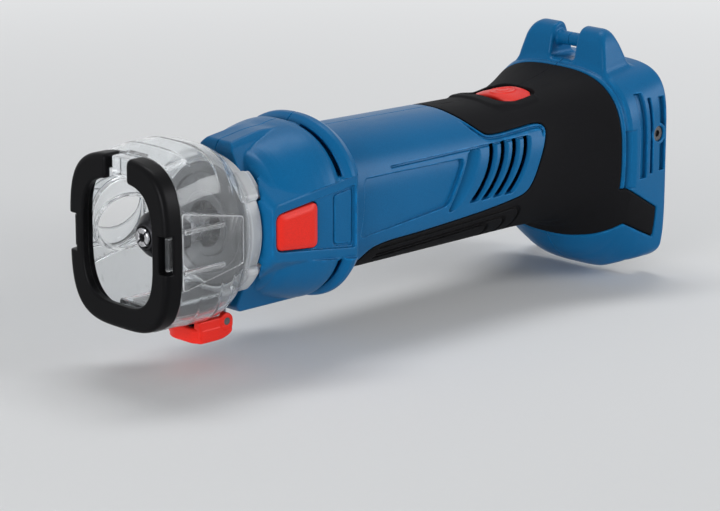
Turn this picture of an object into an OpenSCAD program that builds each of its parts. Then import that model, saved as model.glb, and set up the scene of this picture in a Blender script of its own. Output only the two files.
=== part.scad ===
// Cordless drywall cut-out tool with a clear dust hood and a foot ring.
// X points forward along the spindle, Y to the left, Z up. The origin is the
// mouth of the collet on the spindle axis. Millimetres.

/* [Handle] */
// Width of the barrel across its sides
barrel_w = 56; // [52:1:62]
// Height of the barrel from belly to top
barrel_h = 60.4; // [58:0.2:68]
// Length of the barrel behind the outlet lip
barrel_len = 109; // [106:1:125]
// Fall of the barrel top from the lip to the flare
barrel_dip = 2.4; // [0:0.2:3]
// Length of the flare between barrel and foot
flare_len = 41; // [36:1:52]
// Depth of the rubber overmould
grip_t = 2.2; // [1.4:0.1:2.6]
// Width of the rim where the flare meets the foot
rim_w = 84; // [80:1:90]
// Length of the chamfered rim
rim_len = 5; // [3:0.5:8]
// Step of the rim over the rubber
rim_step = 1.8; // [1:0.1:2.4]
// Length of the foot behind the rim
foot_len = 24; // [22:1:30]
// Width of the foot at its rear face
foot_w = 80.6; // [78:0.2:84]
// Height of the foot above the spindle axis
foot_top = 37.3; // [36:0.1:40]
// Drop of the foot below the spindle axis
foot_drop = 58; // [55:1:64]

/* [Nose] */
// Diameter of the nose neck behind the hood
neck_d = 52; // [51:1:54]
// Diameter of the bell at its rear edge
bell_d = 73; // [70:1:78]
// Diameter of the shoulder where the bell starts
shoulder_d = 62; // [60:1:64]
// Length of the nose from its front face to the bell edge
nose_len = 34; // [32:1:40]
// Width of the annular air outlet
outlet_gap = 3; // [2:0.2:3.6]
// Diameter of the lip behind the air outlet
lip_d = 75.4; // [72:0.2:80]
// Length of the lip
lip_len = 8.5; // [7:0.5:12]
// Distance of the side pads from the axis
pad_y = 32.6; // [32:0.2:35]
// Height of the side pads at the front
pad_front_h = 22; // [19:0.5:23]
// Height of the side pads at the rear
pad_rear_h = 34; // [28:1:38]
// Width of the top boss
boss_w = 18; // [14:1:20]
// Height of the top boss above the axis at its front
boss_front_z = 32; // [30:0.5:33]
// Height of the top boss above the axis at its rear
boss_rear_z = 36.4; // [34:0.2:37]
// Width of the keel that holds the depth rail
keel_w = 21; // [20:0.5:24]
// Drop of the keel below the axis
keel_drop = 36; // [35.5:0.1:37]

/* [Hang loop] */
// Gap between the two lugs
lug_gap = 14; // [12:1:20]
// Height of the lugs above the axis
lug_top = 52; // [50:1:56]
// Diameter of the bar between the lugs
bar_d = 6; // [5:0.2:8]

/* [Dust hood and foot] */
// Reach of the foot ring ahead of the collet mouth
hood_reach = 12.5; // [11:0.5:20]
// Depth of the foot ring along the axis
ring_len = 8.3; // [7:0.1:12]
// Width of the foot ring
ring_w = 59; // [56:1:64]
// Height of the foot ring
ring_h = 67; // [64:1:72]
// Width of the opening in the foot ring
ring_in_w = 40.4; // [36:0.2:44]
// Height of the opening in the foot ring
ring_in_h = 48.8; // [44:0.2:52]
// Gap at the top of the foot ring
ring_gap = 12.4; // [8:0.2:16]
// Width of the hood at its front
hood_w = 58; // [56:1:62]
// Height of the hood above the axis at its front
hood_top = 36.8; // [35:0.2:39]
// Drop of the hood below the axis
hood_drop = 35.6; // [35.4:0.1:36.4]
// Wall of the clear hood
hood_wall = 2; // [1.6:0.1:2.4]
// Bore of the dust extraction port
port_d = 23; // [18:0.5:26]
// Depth adjustment travel
depth_travel = 20; // [10:1:22]

/* [Depth rail and lever] */
// Width of the depth rail
rail_w = 16; // [14:0.5:17]
// Thickness of the depth rail
rail_t = 5; // [4:0.2:5.4]
// Width of the clamp lever
lever_w = 19.5; // [18.5:0.5:21]
// Length of the clamp lever
lever_len = 17.5; // [16:0.5:22]
// Thickness of the clamp lever
lever_t = 6.5; // [5:0.5:8]
// Diameter of the lever pin
pin_d = 3; // [2.5:0.1:3.4]

/* [Controls] */
// Travel of the spindle lock button
lock_travel = 4; // [3:0.5:4.5]
// Length of the spindle lock button
button_len = 22; // [18:1:24]
// Height of the spindle lock button at its front
button_front_h = 14.2; // [11:0.2:15]
// Height of the spindle lock button at its rear
button_rear_h = 18.6; // [16:0.2:20]
// Length of the slide switch cap
switch_len = 18; // [15:0.5:20]
// Width of the slide switch cap
switch_w = 17; // [14:0.5:20]
// Travel of the slide switch
switch_travel = 6; // [4:0.5:7]

/* [Spindle and motor] */
// Bore of the collet
bit_d = 3.2; // [3:0.05:3.6]
// Length of the collet
collet_len = 16; // [14:1:20]
// Diameter of the collet at its mouth
collet_d = 7.4; // [6.8:0.1:8]
// Width of the collet nut across its flats
nut_af = 17; // [16:0.5:19]
// Length of the collet nut
nut_len = 16; // [14:1:18]
// Diameter of the spindle nose inside the nut
spindle_d = 12.6; // [12:0.1:13]
// Distance of the flange face behind the collet mouth
flange_back = 32; // [30:1:36]
// Outer diameter of the front bearing
bearing_d = 22; // [20:1:24]
// Width of the front bearing
bearing_w = 7; // [6:0.5:8]
// Outer diameter of the rear bearing
rear_bearing_d = 19; // [17:1:21]
// Width of the rear bearing
rear_bearing_w = 6; // [5:0.5:7]
// Diameter of the motor shaft
shaft_d = 8; // [7:0.2:8.4]
// Outer diameter of the stator
stator_d = 49.2; // [46:0.2:50]
// Length of the stator
stator_len = 38; // [34:1:42]
// Bore of the stator
stator_bore = 26; // [24:0.5:28]
// Diameter of the fan
fan_d = 54; // [48:1:56]
// Number of fan blades
fan_blades = 11; // [7:1:15]

/* [Battery shoe] */
// Width of the battery channel inside the shoe
channel_w = 61; // [56:1:62]
// Opening between the battery rails
rail_gap = 53; // [48:1:55]
// Depth of the battery shoe along the axis
shoe_depth = 12; // [10:0.5:13]
// Side wall of the battery shoe
shoe_wall = 2.5; // [2:0.1:3]
// Height of the shoe above the axis
shoe_top = 27; // [25:0.5:29]

/* [Hidden] */
$fn = 64;

// Colours
blue = [0.10, 0.40, 0.61];
rubber_black = [0.10, 0.10, 0.11];
red = [0.86, 0.18, 0.15];
steel = [0.72, 0.73, 0.75];

// Overrun of every cut, running clearance and the fit of a pin
over = 1;
clear = 0.35;
fit = 0.03;

// Stations along the axis
flange_rim = 6;
bell_chamfer = 2.5;
x_flange = -flange_back;
x_nose = x_flange - flange_rim;
x_bell = x_nose - nose_len;
x_slot = x_bell - bell_chamfer;
x_lip = x_slot - outlet_gap;
x_barrel = x_lip - lip_len;
x_flare = x_barrel - barrel_len;
x_rim = x_flare - flare_len;
x_crest = x_rim - rim_len;
x_rear = x_crest - foot_len;
handle_len = x_barrel - x_rim;

// Corner shares of the body sections: 1 is an ellipse, less is squarer
barrel_edge_share = 0.83;
rim_edge_share = 0.70;
foot_edge_share = 0.44;
belly_rim_share = 0.82;
belly_foot_share = 0.50;
ring_edge_share = 0.60;

// Facet counts
half_steps = 24;
full_steps = 44;
flare_rings = 9;
foot_rings = 4;
curve_steps = 5;

// Small helpers
function mix(a, b, u) = a + (b - a) * u;
function part_of(x, from, to) = min(1, max(0, (x - from) / (to - from)));
function trumpet(u) = 1 - cos(90 * u);
function signed_pow(v, share) = sign(v) * pow(abs(v), share);
function knot(p, k) = p[min(len(p) - 1, max(0, k))];
function spline(p, k, u) =
    let(a = knot(p, k - 1), b = knot(p, k), c = knot(p, k + 1), d = knot(p, k + 2))
    (2 * b + (c - a) * u + (2 * a - 5 * b + 4 * c - d) * u * u
        + (3 * b - a - 3 * c + d) * u * u * u) / 2;
function curve(p) = concat(
    [for (k = [0 : len(p) - 2]) for (s = [0 : curve_steps - 1]) spline(p, k, s / curve_steps)],
    [p[len(p) - 1]]);

module x_rod(r, x0, x1) {
    translate([x0, 0, 0]) rotate([0, 90, 0]) cylinder(r = r, h = x1 - x0);
}

module y_rod(r, x, z, y0, y1) {
    translate([x, y0, z]) rotate([-90, 0, 0]) cylinder(r = r, h = y1 - y0);
}

module z_rod(r, x, y, z0, z1) {
    translate([x, y, z0]) cylinder(r = r, h = z1 - z0);
}

module block(low, high) {
    translate(low) cube(high - low);
}

// A side profile in X and Z, drawn out along Y
module side_cut(points, y0, y1) {
    translate([0, y1, 0]) rotate([90, 0, 0]) linear_extrude(height = y1 - y0) polygon(points);
}

// A cross profile in Y and Z, drawn out along X
module cross_cut(points, x0, x1) {
    translate([x0, 0, 0]) rotate([90, 0, 90]) linear_extrude(height = x1 - x0) polygon(points);
}

// A profile of radius and station, turned about the spindle axis
module turned(points, angle = 360) {
    rotate([0, 90, 0]) rotate_extrude(angle = angle) polygon(points);
}

module ring_rod(outer_r, inner_r, x0, x1) {
    turned([[inner_r, x0], [outer_r, x0], [outer_r, x1], [inner_r, x1]]);
}

module mirrored(side) {
    if (side > 0) children();
    else mirror([0, 1, 0]) children();
}

// Sections of the barrel, flare and foot
function half_width(x) =
    x > x_rim ? mix(barrel_w / 2, rim_w / 2 - rim_step, trumpet(part_of(x, x_flare, x_rim)))
    : x > x_crest ? mix(rim_w / 2 - rim_step, rim_w / 2, part_of(x, x_rim, x_crest))
    : mix(rim_w / 2, foot_w / 2, part_of(x, x_crest, x_rear));
function barrel_top(x) = barrel_h / 2 - barrel_dip * part_of(x, x_barrel, x_flare);
function top_height(x) =
    x > x_rim ? mix(barrel_top(x), foot_top - rim_step, trumpet(part_of(x, x_flare, x_rim)))
    : mix(foot_top - rim_step, foot_top, part_of(x, x_rim, x_crest));
// Fall of the belly behind the barrel: share of the way to the rear, and share of the full fall
belly_shares = [[0, 0], [0.243, 0.012], [0.371, 0.06], [0.471, 0.19], [0.537, 0.385], [0.571, 0.53],
    [0.619, 0.676], [0.686, 0.813], [0.794, 0.957], [0.886, 1], [1, 1]];
function belly_depth(x) = mix(barrel_h / 2, foot_drop, lookup(part_of(x, x_flare, x_rear), belly_shares));
function edge_share(x, rim_share, foot_share) =
    x > x_rim ? mix(barrel_edge_share, rim_share, part_of(x, x_flare, x_rim))
    : mix(rim_share, foot_share, part_of(x, x_crest, x_rear));
function half_ring(x, inset) = [for (i = [0 : half_steps])
    let(q = -90 + 180 * i / half_steps,
        e = q < 0 ? edge_share(x, belly_rim_share, belly_foot_share)
            : edge_share(x, rim_edge_share, foot_edge_share))
    [x, (half_width(x) - inset) * signed_pow(cos(q), e),
        ((q < 0 ? belly_depth(x) : top_height(x)) - inset) * signed_pow(sin(q), e)]];
body_stations = concat([for (k = [0 : foot_rings]) mix(x_rear, x_crest, k / foot_rings)],
    [for (k = [0 : flare_rings]) mix(x_rim, x_flare, k / flare_rings)], [x_lip - over]);
barrel_stations = [x_flare, x_lip - over];

// Closes a row of rings, each a list of points, into one solid, from the rear forward
module loft(rings) {
    n = len(rings[0]);
    points = [for (r = rings) each r];
    sides = [for (k = [0 : len(rings) - 2]) for (i = [0 : n - 1])
        let(j = (i + 1) % n, a = k * n, b = a + n)
        each [[a + i, b + j, a + j], [a + i, b + i, b + j]]];
    front = [for (i = [0 : n - 1]) i];
    back = [for (i = [0 : n - 1]) len(points) - 1 - i];
    polyhedron(points, concat([front, back], sides));
}

// Left half of the handle, drawn in by an inset
module half_body(stations, inset) {
    loft([for (x = stations) half_ring(x, inset)]);
}

// Rubber overmould

// Outline of the rubber on the side, as shares of the handle length and half the barrel height
grip_front_shares = [[0.475, 1.2], [0.476, 1.0], [0.48, 0.92], [0.495, 0.836], [0.525, 0.685],
    [0.552, 0.602], [0.60, 0.584], [0.68, 0.596], [0.755, 0.605], [0.776, 0.545], [0.77, 0.40],
    [0.745, 0.14], [0.716, -0.15], [0.685, -0.315], [0.63, -0.38], [0.5, -0.455], [0.298, -0.524],
    [0.13, -0.57], [0.075, -0.74], [0.05, -1.2]];
grip_belly_shares = [[0.965, -1.6], [0.971, -1.30], [0.98, -1.24], [1.003, -1.138], [1.038, -1.012]];
grip_tongue_shares = [[1.10, -1.17], [1.15, -1.29], [1.15, -0.84], [1.02, -0.46]];
function handle_point(s) = [x_barrel - s[0] * handle_len, s[1] * barrel_h / 2];
function handle_points(shares) = [for (s = shares) handle_point(s)];
grip_outline = concat(curve(handle_points(grip_front_shares)), handle_points(grip_belly_shares),
    handle_points(grip_tongue_shares),
    [[x_rim, handle_point(grip_tongue_shares[3])[1]], [x_rim, foot_top + over]]);

// Raised surround of the slide switch, an island that follows the crown of the barrel
hump_w = 30;
hump_rise = 1.2;
hump_lead = 16.5;
hump_shoulder = 5;
hump_back = 6;
switch_setback = 1;
x_switch = x_flare + switch_setback;
x_switch_rear = x_switch - switch_len;
hump_z = barrel_top(x_flare) + hump_rise;
switch_floor = 7;
switch_z = hump_z - switch_floor;
module hump() {
    intersection() {
        half_body(body_stations, -hump_rise);
        side_cut([[x_switch + hump_lead, switch_z], [x_switch + hump_lead, hump_z], [x_rim, hump_z],
            [x_rim, switch_z]], 0, hump_w);
        translate([0, 0, switch_z]) linear_extrude(height = switch_floor)
            polygon([[x_switch + hump_lead, 0], [x_switch + hump_shoulder, hump_w / 2],
                [x_switch_rear - hump_back, hump_w / 2], [x_switch_rear - hump_back, 0]]);
    }
}

stem_len = 8;
stem_w = 8;
x_stem = x_switch - switch_len / 2;
module switch_slot() {
    block([x_switch_rear - clear, -switch_w / 2 - clear, switch_z],
        [x_switch + switch_travel + clear, switch_w / 2 + clear, hump_z + hump_rise + over]);
    block([x_stem - stem_len / 2 - clear, -stem_w / 2 - clear, bay_h / 2 - over],
        [x_stem + stem_len / 2 + switch_travel + clear, stem_w / 2 + clear, switch_z + over]);
}

// Lines moulded along the belly strip
belly_lines = 3;
belly_line_w = 0.9;
belly_line_depth = 0.4;
belly_line_step = 6;
belly_line_turn = 33;
belly_line_start = 18;
belly_line_end = 112;
module belly_grooves() {
    for (k = [1 : belly_lines]) {
        rotate([belly_line_turn + belly_line_step * (k - 1), 0, 0])
            block([x_barrel - belly_line_end, -belly_line_w / 2, -barrel_h / 2 - over],
                [x_barrel - belly_line_start, belly_line_w / 2, -barrel_h / 2 + belly_line_depth]);
    }
}

module half_grip(side) {
    difference() {
        intersection() {
            union() {
                half_body(body_stations, 0);
                hump();
            }
            side_cut(grip_outline, -over, rim_w);
        }
        half_body(body_stations, grip_t);
        switch_slot();
        belly_grooves();
        if (side < 0) for (p = screw_places) y_rod(screw_head_r + fit, p[0], p[1], screw_seat, rim_w);
        block([x_rear - over, -rim_w, -foot_drop], [x_lip, 0, foot_top + over]);
    }
}

module grip_left() { color(rubber_black) half_grip(1); }

module grip_right() { color(rubber_black) mirror([0, 1, 0]) half_grip(-1); }

// Housing halves

// Nose profile turned about the axis
neck_len = 4;
shoulder_len = 5;
bell_drop = 1.6;
shoulder_steps = 6;
nose_profile = concat([[0, x_nose], [neck_d / 2, x_nose], [neck_d / 2, x_nose - neck_len]],
    [for (k = [1 : shoulder_steps]) let(q = 90 * k / shoulder_steps)
        [mix(neck_d, shoulder_d, sin(q)) / 2, x_nose - neck_len - shoulder_len * (1 - cos(q))]],
    [[bell_d / 2, x_bell], [bell_d / 2 - bell_drop, x_slot], [bell_d / 2 - bell_drop, x_lip - over],
    [0, x_lip - over]]);
lip_crown = 0.8;
lip_fall = 2.4;
lip_profile = [[0, x_lip], [lip_d / 2 - lip_crown, x_lip], [lip_d / 2, x_lip - lip_len / 4],
    [lip_d / 2, x_lip - lip_len / 2], [lip_d / 2 - lip_fall, x_barrel], [0, x_barrel]];

// Air outlet: four slots between bell and lip, bridged at the pads, boss and keel
bridge_w = 15;
fan_clear = 1.5;
fan_lead = 5;
fan_lag = 2.5;
x_fan = x_bell + fan_lead;
x_fan_rear = x_lip - fan_lag;
lip_web = 2;
x_chamber = x_barrel + lip_web;
module outlet() {
    difference() {
        ring_rod(lip_d, fan_d / 2 - over, x_lip, x_slot);
        block([x_lip - over, -bridge_w / 2, -lip_d], [x_slot + over, bridge_w / 2, lip_d]);
        block([x_lip - over, -lip_d, -pad_rear_h / 2], [x_slot + over, lip_d, pad_rear_h / 2]);
    }
}

// Side pads: a raised trapezoid with sloped flanks and a framed recess
pad_rear_gap = 1;
pad_frame = 4;
pad_sink = 1.4;
pad_depth = 12;
pad_flare = 9;
pad_bevel = 1.2;
pad_border = 2.5;
x_pad_rear = x_barrel + pad_rear_gap;
function pad_half(x) = mix(pad_front_h, pad_rear_h, part_of(x, x_nose, x_pad_rear)) / 2;
function pad_outline(inset, front, rear) =
    [[front, -pad_half(front) + inset], [rear, -pad_half(rear) + inset],
        [rear, pad_half(rear) - inset], [front, pad_half(front) - inset]];
function at_depth(outline, y) = [for (p = outline) [p[0], y, p[1]]];
module pad_body() {
    loft([at_depth(pad_outline(-pad_flare, x_nose, x_pad_rear), pad_y - pad_depth),
        at_depth(pad_outline(0, x_nose - pad_bevel, x_pad_rear), pad_y)]);
}
module pad_flat() {
    side_cut(pad_outline(0, x_nose + over, x_barrel - over), pad_y, lip_d);
}
module pad_recess() {
    side_cut(pad_outline(pad_frame, x_nose - pad_frame, x_pad_rear + pad_border),
        pad_y - pad_sink, pad_y + over);
}

// Spindle lock button
button_back = 3.4;
button_proud = 0.6;
button_t = 8;
x_button = x_nose - button_back;
x_lock = x_button - button_len / 2;
button_y = pad_y + button_proud;
function button_outline(grow) =
    let(front = x_button + grow, rear = x_button - button_len - grow)
    [[front, -button_front_h / 2 - grow], [rear, -button_rear_h / 2 - grow],
        [rear, button_rear_h / 2 + grow], [front, button_front_h / 2 + grow]];
pin_r = 2;
spring_seat = 4.4;
spring_gap = 2;
button_stop = button_y - button_t - lock_travel;
lock_chamber_d = 26;
module lock_cuts() {
    side_cut(button_outline(clear), button_stop - clear, pad_y + over);
    y_rod(spring_seat, x_lock, 0, button_stop - spring_gap, button_stop);
    y_rod(pin_r + fit, x_lock, 0, 0, button_stop);
}

// Snap tabs of the dust hood, and the room for them round the nose neck
tab_start = 29;
tab_sweep = 25;
tab_r = 26.6;
tab_t = 2;
tab_reach = 3.2;
tab_ease = 2;
tab_relief = 0.25;
x_tab = x_nose - tab_reach;
tab_turns = [tab_start, 180 - tab_start - tab_sweep, 180 + tab_start, 360 - tab_start - tab_sweep];
module tab(low_r, high_r, x0, x1, ease) {
    rotate([-90 - ease, 0, 0])
        turned([[low_r, x0], [high_r, x0], [high_r, x1], [low_r, x1]], tab_sweep + 2 * ease);
}
module tab_room() {
    for (a = tab_turns)
        rotate([a, 0, 0]) tab(neck_d / 2 - tab_relief, tab_r + tab_t + clear, x_tab - clear,
            x_nose + over, tab_ease);
}

// Top boss and keel of the nose
boss_len = 24;
boss_setback = 0.4;
boss_flank = 4;
boss_root = 22;
boss_tip = 3;
x_boss = x_nose - boss_setback;
module boss() {
    intersection() {
        side_cut([[x_boss, boss_root], [x_boss, boss_front_z - boss_tip],
            [x_boss - boss_tip, boss_front_z], [x_nose - boss_len, boss_rear_z],
            [x_slot, boss_rear_z], [x_slot, boss_root]], 0, boss_w);
        cross_cut([[0, boss_root], [boss_w / 2 + boss_flank, boss_root],
            [boss_w / 2, boss_front_z - boss_tip], [boss_w / 2 - boss_tip / 2, boss_rear_z + over],
            [0, boss_rear_z + over]], x_slot, x_boss);
    }
}
keel_corner = 3;
keel_root = 18;
keel_root_w = 40;
module keel() {
    intersection() {
        side_cut([[x_nose, -keel_root], [x_nose, -keel_drop + keel_corner],
            [x_nose - keel_corner, -keel_drop], [x_slot, -keel_drop], [x_slot, -keel_root]],
            0, keel_root_w / 2);
        cross_cut([[0, -keel_root], [keel_root_w / 2, -keel_root], [keel_w / 2, -keel_drop],
            [0, -keel_drop]], x_slot, x_nose);
    }
}

// Depth rail under the nose
rail_root = 22;
rail_sink = 3;
rail_hold = 9;
guide_gap = 1;
rail_z = -keel_drop + rail_sink;
x_guide_rear = x_flange + guide_gap;
x_rail_rear = x_nose - rail_root;
x_rail_front = x_guide_rear + depth_travel + rail_hold;
module rail_body() {
    block([x_rail_rear, -rail_w / 2, rail_z], [x_rail_front, rail_w / 2, rail_z + rail_t]);
}

// Panel, long groove and curved air intake slots on the side of the barrel
panel_shares = [[0.055, 0.40], [0.44, 0.375], [0.371, -0.23], [0.04, -0.40]];
groove_shares = [[0.17, 0.52], [0.70, 0.50]];
panel_depth = 1.1;
groove_w = 0.8;
vent_count = 4;
vent_pitch = 7;
vent_bow = 40;
vent_slit = 2.8;
vent_ramp = 5;
vent_depth = 2;
vent_low = 8;
vent_setback = 39;
vent_lift = 18.8;
vent_top = handle_point(groove_shares[1])[1];
module vent(k, width) {
    x_centre = x_barrel - vent_setback - vent_pitch * k;
    intersection() {
        translate([x_centre, 0, vent_lift]) rotate([-90, 0, 0])
            difference() {
                cylinder(r = vent_bow + width, h = barrel_w);
                cylinder(r = vent_bow, h = barrel_w);
            }
        block([x_flare, 0, -vent_low], [x_centre, barrel_w, vent_top]);
    }
}
module side_recess(depth) {
    intersection() {
        difference() {
            block([x_flare, barrel_w / 4, -barrel_h / 2], [x_barrel, barrel_w, barrel_h / 2]);
            half_body(barrel_stations, depth);
        }
        children();
    }
}
module barrel_cuts() {
    side_recess(panel_depth) {
        union() {
            side_cut(handle_points(panel_shares), 0, barrel_w);
            let(a = handle_point(groove_shares[0]), b = handle_point(groove_shares[1]))
                block([b[0], 0, b[1]], [a[0], barrel_w, b[1] + groove_w]);
        }
    }
    side_recess(vent_depth)
        for (k = [0 : vent_count - 1]) vent(k, vent_ramp);
    for (k = [0 : vent_count - 1]) vent(k, vent_slit);
}

// Foot: hang lugs, side grooves and screw bosses
lug_len = 18;
lug_lean = 4;
lug_setback = 2;
lug_base_y = 26.5;
lug_tip_y = 22;
lug_root = 30;
lug_nose = 3;
bar_drop = 6.8;
x_lug = x_rim - lug_setback;
x_bar = x_lug - lug_len / 2;
bar_z = lug_top - bar_drop;
module lug() {
    intersection() {
        side_cut([[x_lug, lug_root], [x_lug - lug_lean, lug_top - lug_nose],
            [x_lug - lug_lean - lug_nose, lug_top], [x_lug - lug_len / 2 - lug_nose, lug_top],
            [x_lug - lug_len + lug_nose, lug_top - 2 * lug_nose],
            [x_lug - lug_len - lug_lean / 2, lug_root]], lug_gap / 2, lug_base_y);
        cross_cut([[lug_gap / 2, lug_root], [lug_base_y, lug_root],
            [lug_base_y, top_height(x_lug) - lug_nose],
            [lug_tip_y, lug_top - lug_nose], [lug_tip_y - lug_nose, lug_top], [lug_gap / 2, lug_top]],
            x_lug - 2 * lug_len, x_lug + over);
    }
    y_rod(bar_d / 2, x_bar, bar_z, 0, lug_gap / 2 + over);
}

// Grooves on the foot side: station behind the crest as a share of the foot length, width share
foot_groove_shares = [[0.22, 0.29], [0.54, 0.10], [0.92, 0.12]];
foot_groove_top = 25;
foot_groove_low = 11;
foot_groove_depth = 1.6;
foot_groove_y = foot_w / 2 - foot_groove_depth;
shoe_screw_z = 7.3;
shoe_screw_back = 6;
shoe_screw_head = 3.2;
shoe_screw_r = 1.7;
x_shoe = x_rear + shoe_depth;
x_shoe_screw = x_rear + shoe_screw_back;
shoe_y = channel_w / 2 + shoe_wall;
shoe_head_y = foot_w / 2 - shoe_screw_head;
module foot_cuts() {
    for (g = foot_groove_shares)
        block([x_crest - (g[0] + g[1]) * foot_len, foot_groove_y, -foot_groove_low],
            [x_crest - g[0] * foot_len, rim_w, foot_groove_top]);
    y_rod(shoe_screw_head + fit, x_shoe_screw, shoe_screw_z, shoe_head_y, rim_w);
    y_rod(shoe_screw_r, x_shoe_screw, shoe_screw_z, 0, rim_w);
}

// Inner spaces shared by both halves
flange_d = 50;
flange_neck_d = 41;
flange_neck = 8;
bulk_t = 12;
board_gap = 8;
bay_w = 38;
bay_h = 38;
cavity_w = 48;
cavity_top = 22;
cavity_low = 18;
cavity_wall = 3;
x_stator = x_barrel - lip_web;
x_stator_rear = x_stator - stator_len;
x_bulk = x_stator_rear - board_gap;
x_bay = x_bulk - bulk_t;
x_cavity = x_rim + flare_len / 3;
x_cavity_rear = x_shoe + cavity_wall;
lead_slot_w = 18;
lead_tail = 6;
lead_r = 1.4;
lead_z = 16;
lead_step = 6;
module inner_spaces() {
    x_rod(flange_neck_d / 2, x_nose - flange_neck, x_nose + over);
    x_rod(lock_chamber_d / 2, x_fan - over, x_nose);
    x_rod(fan_d / 2 + fan_clear, x_chamber, x_fan + fan_clear);
    x_rod(stator_d / 2, x_bulk, x_chamber + over);
    x_rod(rear_bearing_d / 2, x_bulk - rear_bearing_w, x_bulk + over);
    x_rod(rear_shaft_d / 2 + clear, x_shaft_end - clear, x_bulk);
    block([x_bay - over, -lead_slot_w / 2, lead_z - lead_r],
        [x_bulk + over, lead_slot_w / 2, lead_z + lead_r]);
    block([x_cavity, -bay_w / 2, -bay_h / 2], [x_bay, bay_w / 2, bay_h / 2]);
    block([x_cavity_rear, -cavity_w / 2, -cavity_low], [x_cavity + over, cavity_w / 2, cavity_top]);
    block([x_rear - over, -shoe_y, -foot_drop - over], [x_shoe, shoe_y, shoe_top]);
    block([x_shoe - over, -terminal_w / 2, terminal_z],
        [x_cavity_rear + over, terminal_w / 2, terminal_z + terminal_h]);
    switch_slot();
    rail_body();
}

// Screws that hold the halves, entering from the right
screw_head_r = 3.2;
screw_r = 1.6;
screw_head_t = 2.4;
screw_bite = 10;
screw_seat = 8;
nose_screw_back = 19;
nose_screw_z = 21;
bulk_screw_z = 20.5;
foot_screw_back = 4;
foot_screw_rise = 12;
screw_places = [[x_nose - nose_screw_back, nose_screw_z], [x_nose - nose_screw_back, -nose_screw_z],
    [x_bulk - bulk_t / 2, bulk_screw_z], [x_bulk - bulk_t / 2, -bulk_screw_z],
    [x_crest - foot_screw_back, -foot_drop + foot_screw_rise]];

module half_housing(side) {
    difference() {
        union() {
            difference() {
                half_body(body_stations, 0);
                intersection() {
                    difference() {
                        half_body(body_stations, -over);
                        half_body(body_stations, grip_t);
                    }
                    side_cut(grip_outline, -over, rim_w);
                }
                barrel_cuts();
                foot_cuts();
            }
            difference() {
                union() {
                    turned(nose_profile, 180);
                    turned(lip_profile, 180);
                }
                pad_flat();
            }
            pad_body();
            boss();
            keel();
            lug();
        }
        outlet();
        pad_recess();
        tab_room();
        if (side > 0) lock_cuts();
        inner_spaces();
        for (p = screw_places) {
            y_rod(screw_r, p[0], p[1], -over, screw_bite);
            if (side < 0) y_rod(screw_head_r + fit, p[0], p[1], screw_seat, rim_w);
        }
        for (x = rail_screw_stations) rail_screw_hole(x);
    }
}

module housing_left() { color(blue) half_housing(1); }

module housing_right() { color(blue) mirror([0, 1, 0]) half_housing(-1); }

// A round-headed screw along Z with a six-sided socket, its head's underside at zero
module screw(head_r, head_t, r, length) {
    difference() {
        union() {
            cylinder(r = head_r, h = head_t);
            translate([0, 0, -length]) cylinder(r = r, h = length + head_t / 2);
        }
        translate([0, 0, head_t / 2]) cylinder(r = head_r / 2, h = head_t, $fn = 6);
    }
}

module housing_screws() {
    color(steel)
        for (p = screw_places)
            translate([p[0], -screw_seat, p[1]]) rotate([90, 0, 0])
                screw(screw_head_r, screw_head_t, screw_r, screw_seat + screw_bite);
}

// Depth rail

rail_screw_r = 1.4;
rail_screw_head = 2.8;
rail_screw_head_t = 1.6;
rail_screw_bite = 3.4;
rail_screw_step = 10;
rail_screw_stations = [x_rail_rear + rail_screw_step / 2, x_rail_rear + 3 * rail_screw_step / 2];
module rail_screw_hole(x) {
    z_rod(rail_screw_r, x, 0, -keel_drop - over, rail_z);
    z_rod(rail_screw_head + fit, x, 0, -keel_drop - over, -keel_drop + rail_screw_head_t);
}

module depth_rail() {
    color(rubber_black)
        difference() {
            rail_body();
            for (x = rail_screw_stations)
                z_rod(rail_screw_r, x, 0, rail_z - over, rail_z + rail_screw_bite);
        }
}

module rail_screws() {
    color(steel)
        for (x = rail_screw_stations)
            translate([x, 0, -keel_drop + rail_screw_head_t]) rotate([180, 0, 0])
                screw(rail_screw_head, rail_screw_head_t, rail_screw_r,
                    rail_sink - rail_screw_head_t + rail_screw_bite);
}

// Flange and bearings

spindle_neck_d = 11;
flange_hole_d = 18;
module front_flange() {
    color(steel)
        turned([[flange_hole_d / 2, x_flange], [flange_d / 2, x_flange], [flange_d / 2, x_nose],
            [flange_neck_d / 2, x_nose], [flange_neck_d / 2, x_nose - flange_neck],
            [bearing_d / 2, x_nose - flange_neck], [bearing_d / 2, x_nose - flange_neck + bearing_w],
            [flange_hole_d / 2, x_nose - flange_neck + bearing_w]]);
}

race_share = 0.46;
race_gap = 0.3;
x_bearing = x_nose - flange_neck;
function race_r(bore, outer) = mix(bore, outer, race_share) / 2;
rear_shaft_step = 1;
rear_shaft_d = shaft_d - rear_shaft_step;
module front_bearing_outer() {
    color(steel)
        ring_rod(bearing_d / 2, race_r(shaft_d, bearing_d) + race_gap, x_bearing, x_bearing + bearing_w);
}

module front_bearing_inner() {
    color(steel) ring_rod(race_r(shaft_d, bearing_d), shaft_d / 2, x_bearing, x_bearing + bearing_w);
}

x_rear_bearing = x_bulk - rear_bearing_w;
module rear_bearing_outer() {
    color(steel)
        ring_rod(rear_bearing_d / 2, race_r(rear_shaft_d, rear_bearing_d) + race_gap, x_rear_bearing, x_bulk);
}

module rear_bearing_inner() {
    color(steel) ring_rod(race_r(rear_shaft_d, rear_bearing_d), rear_shaft_d / 2, x_rear_bearing, x_bulk);
}

// Motor

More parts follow.
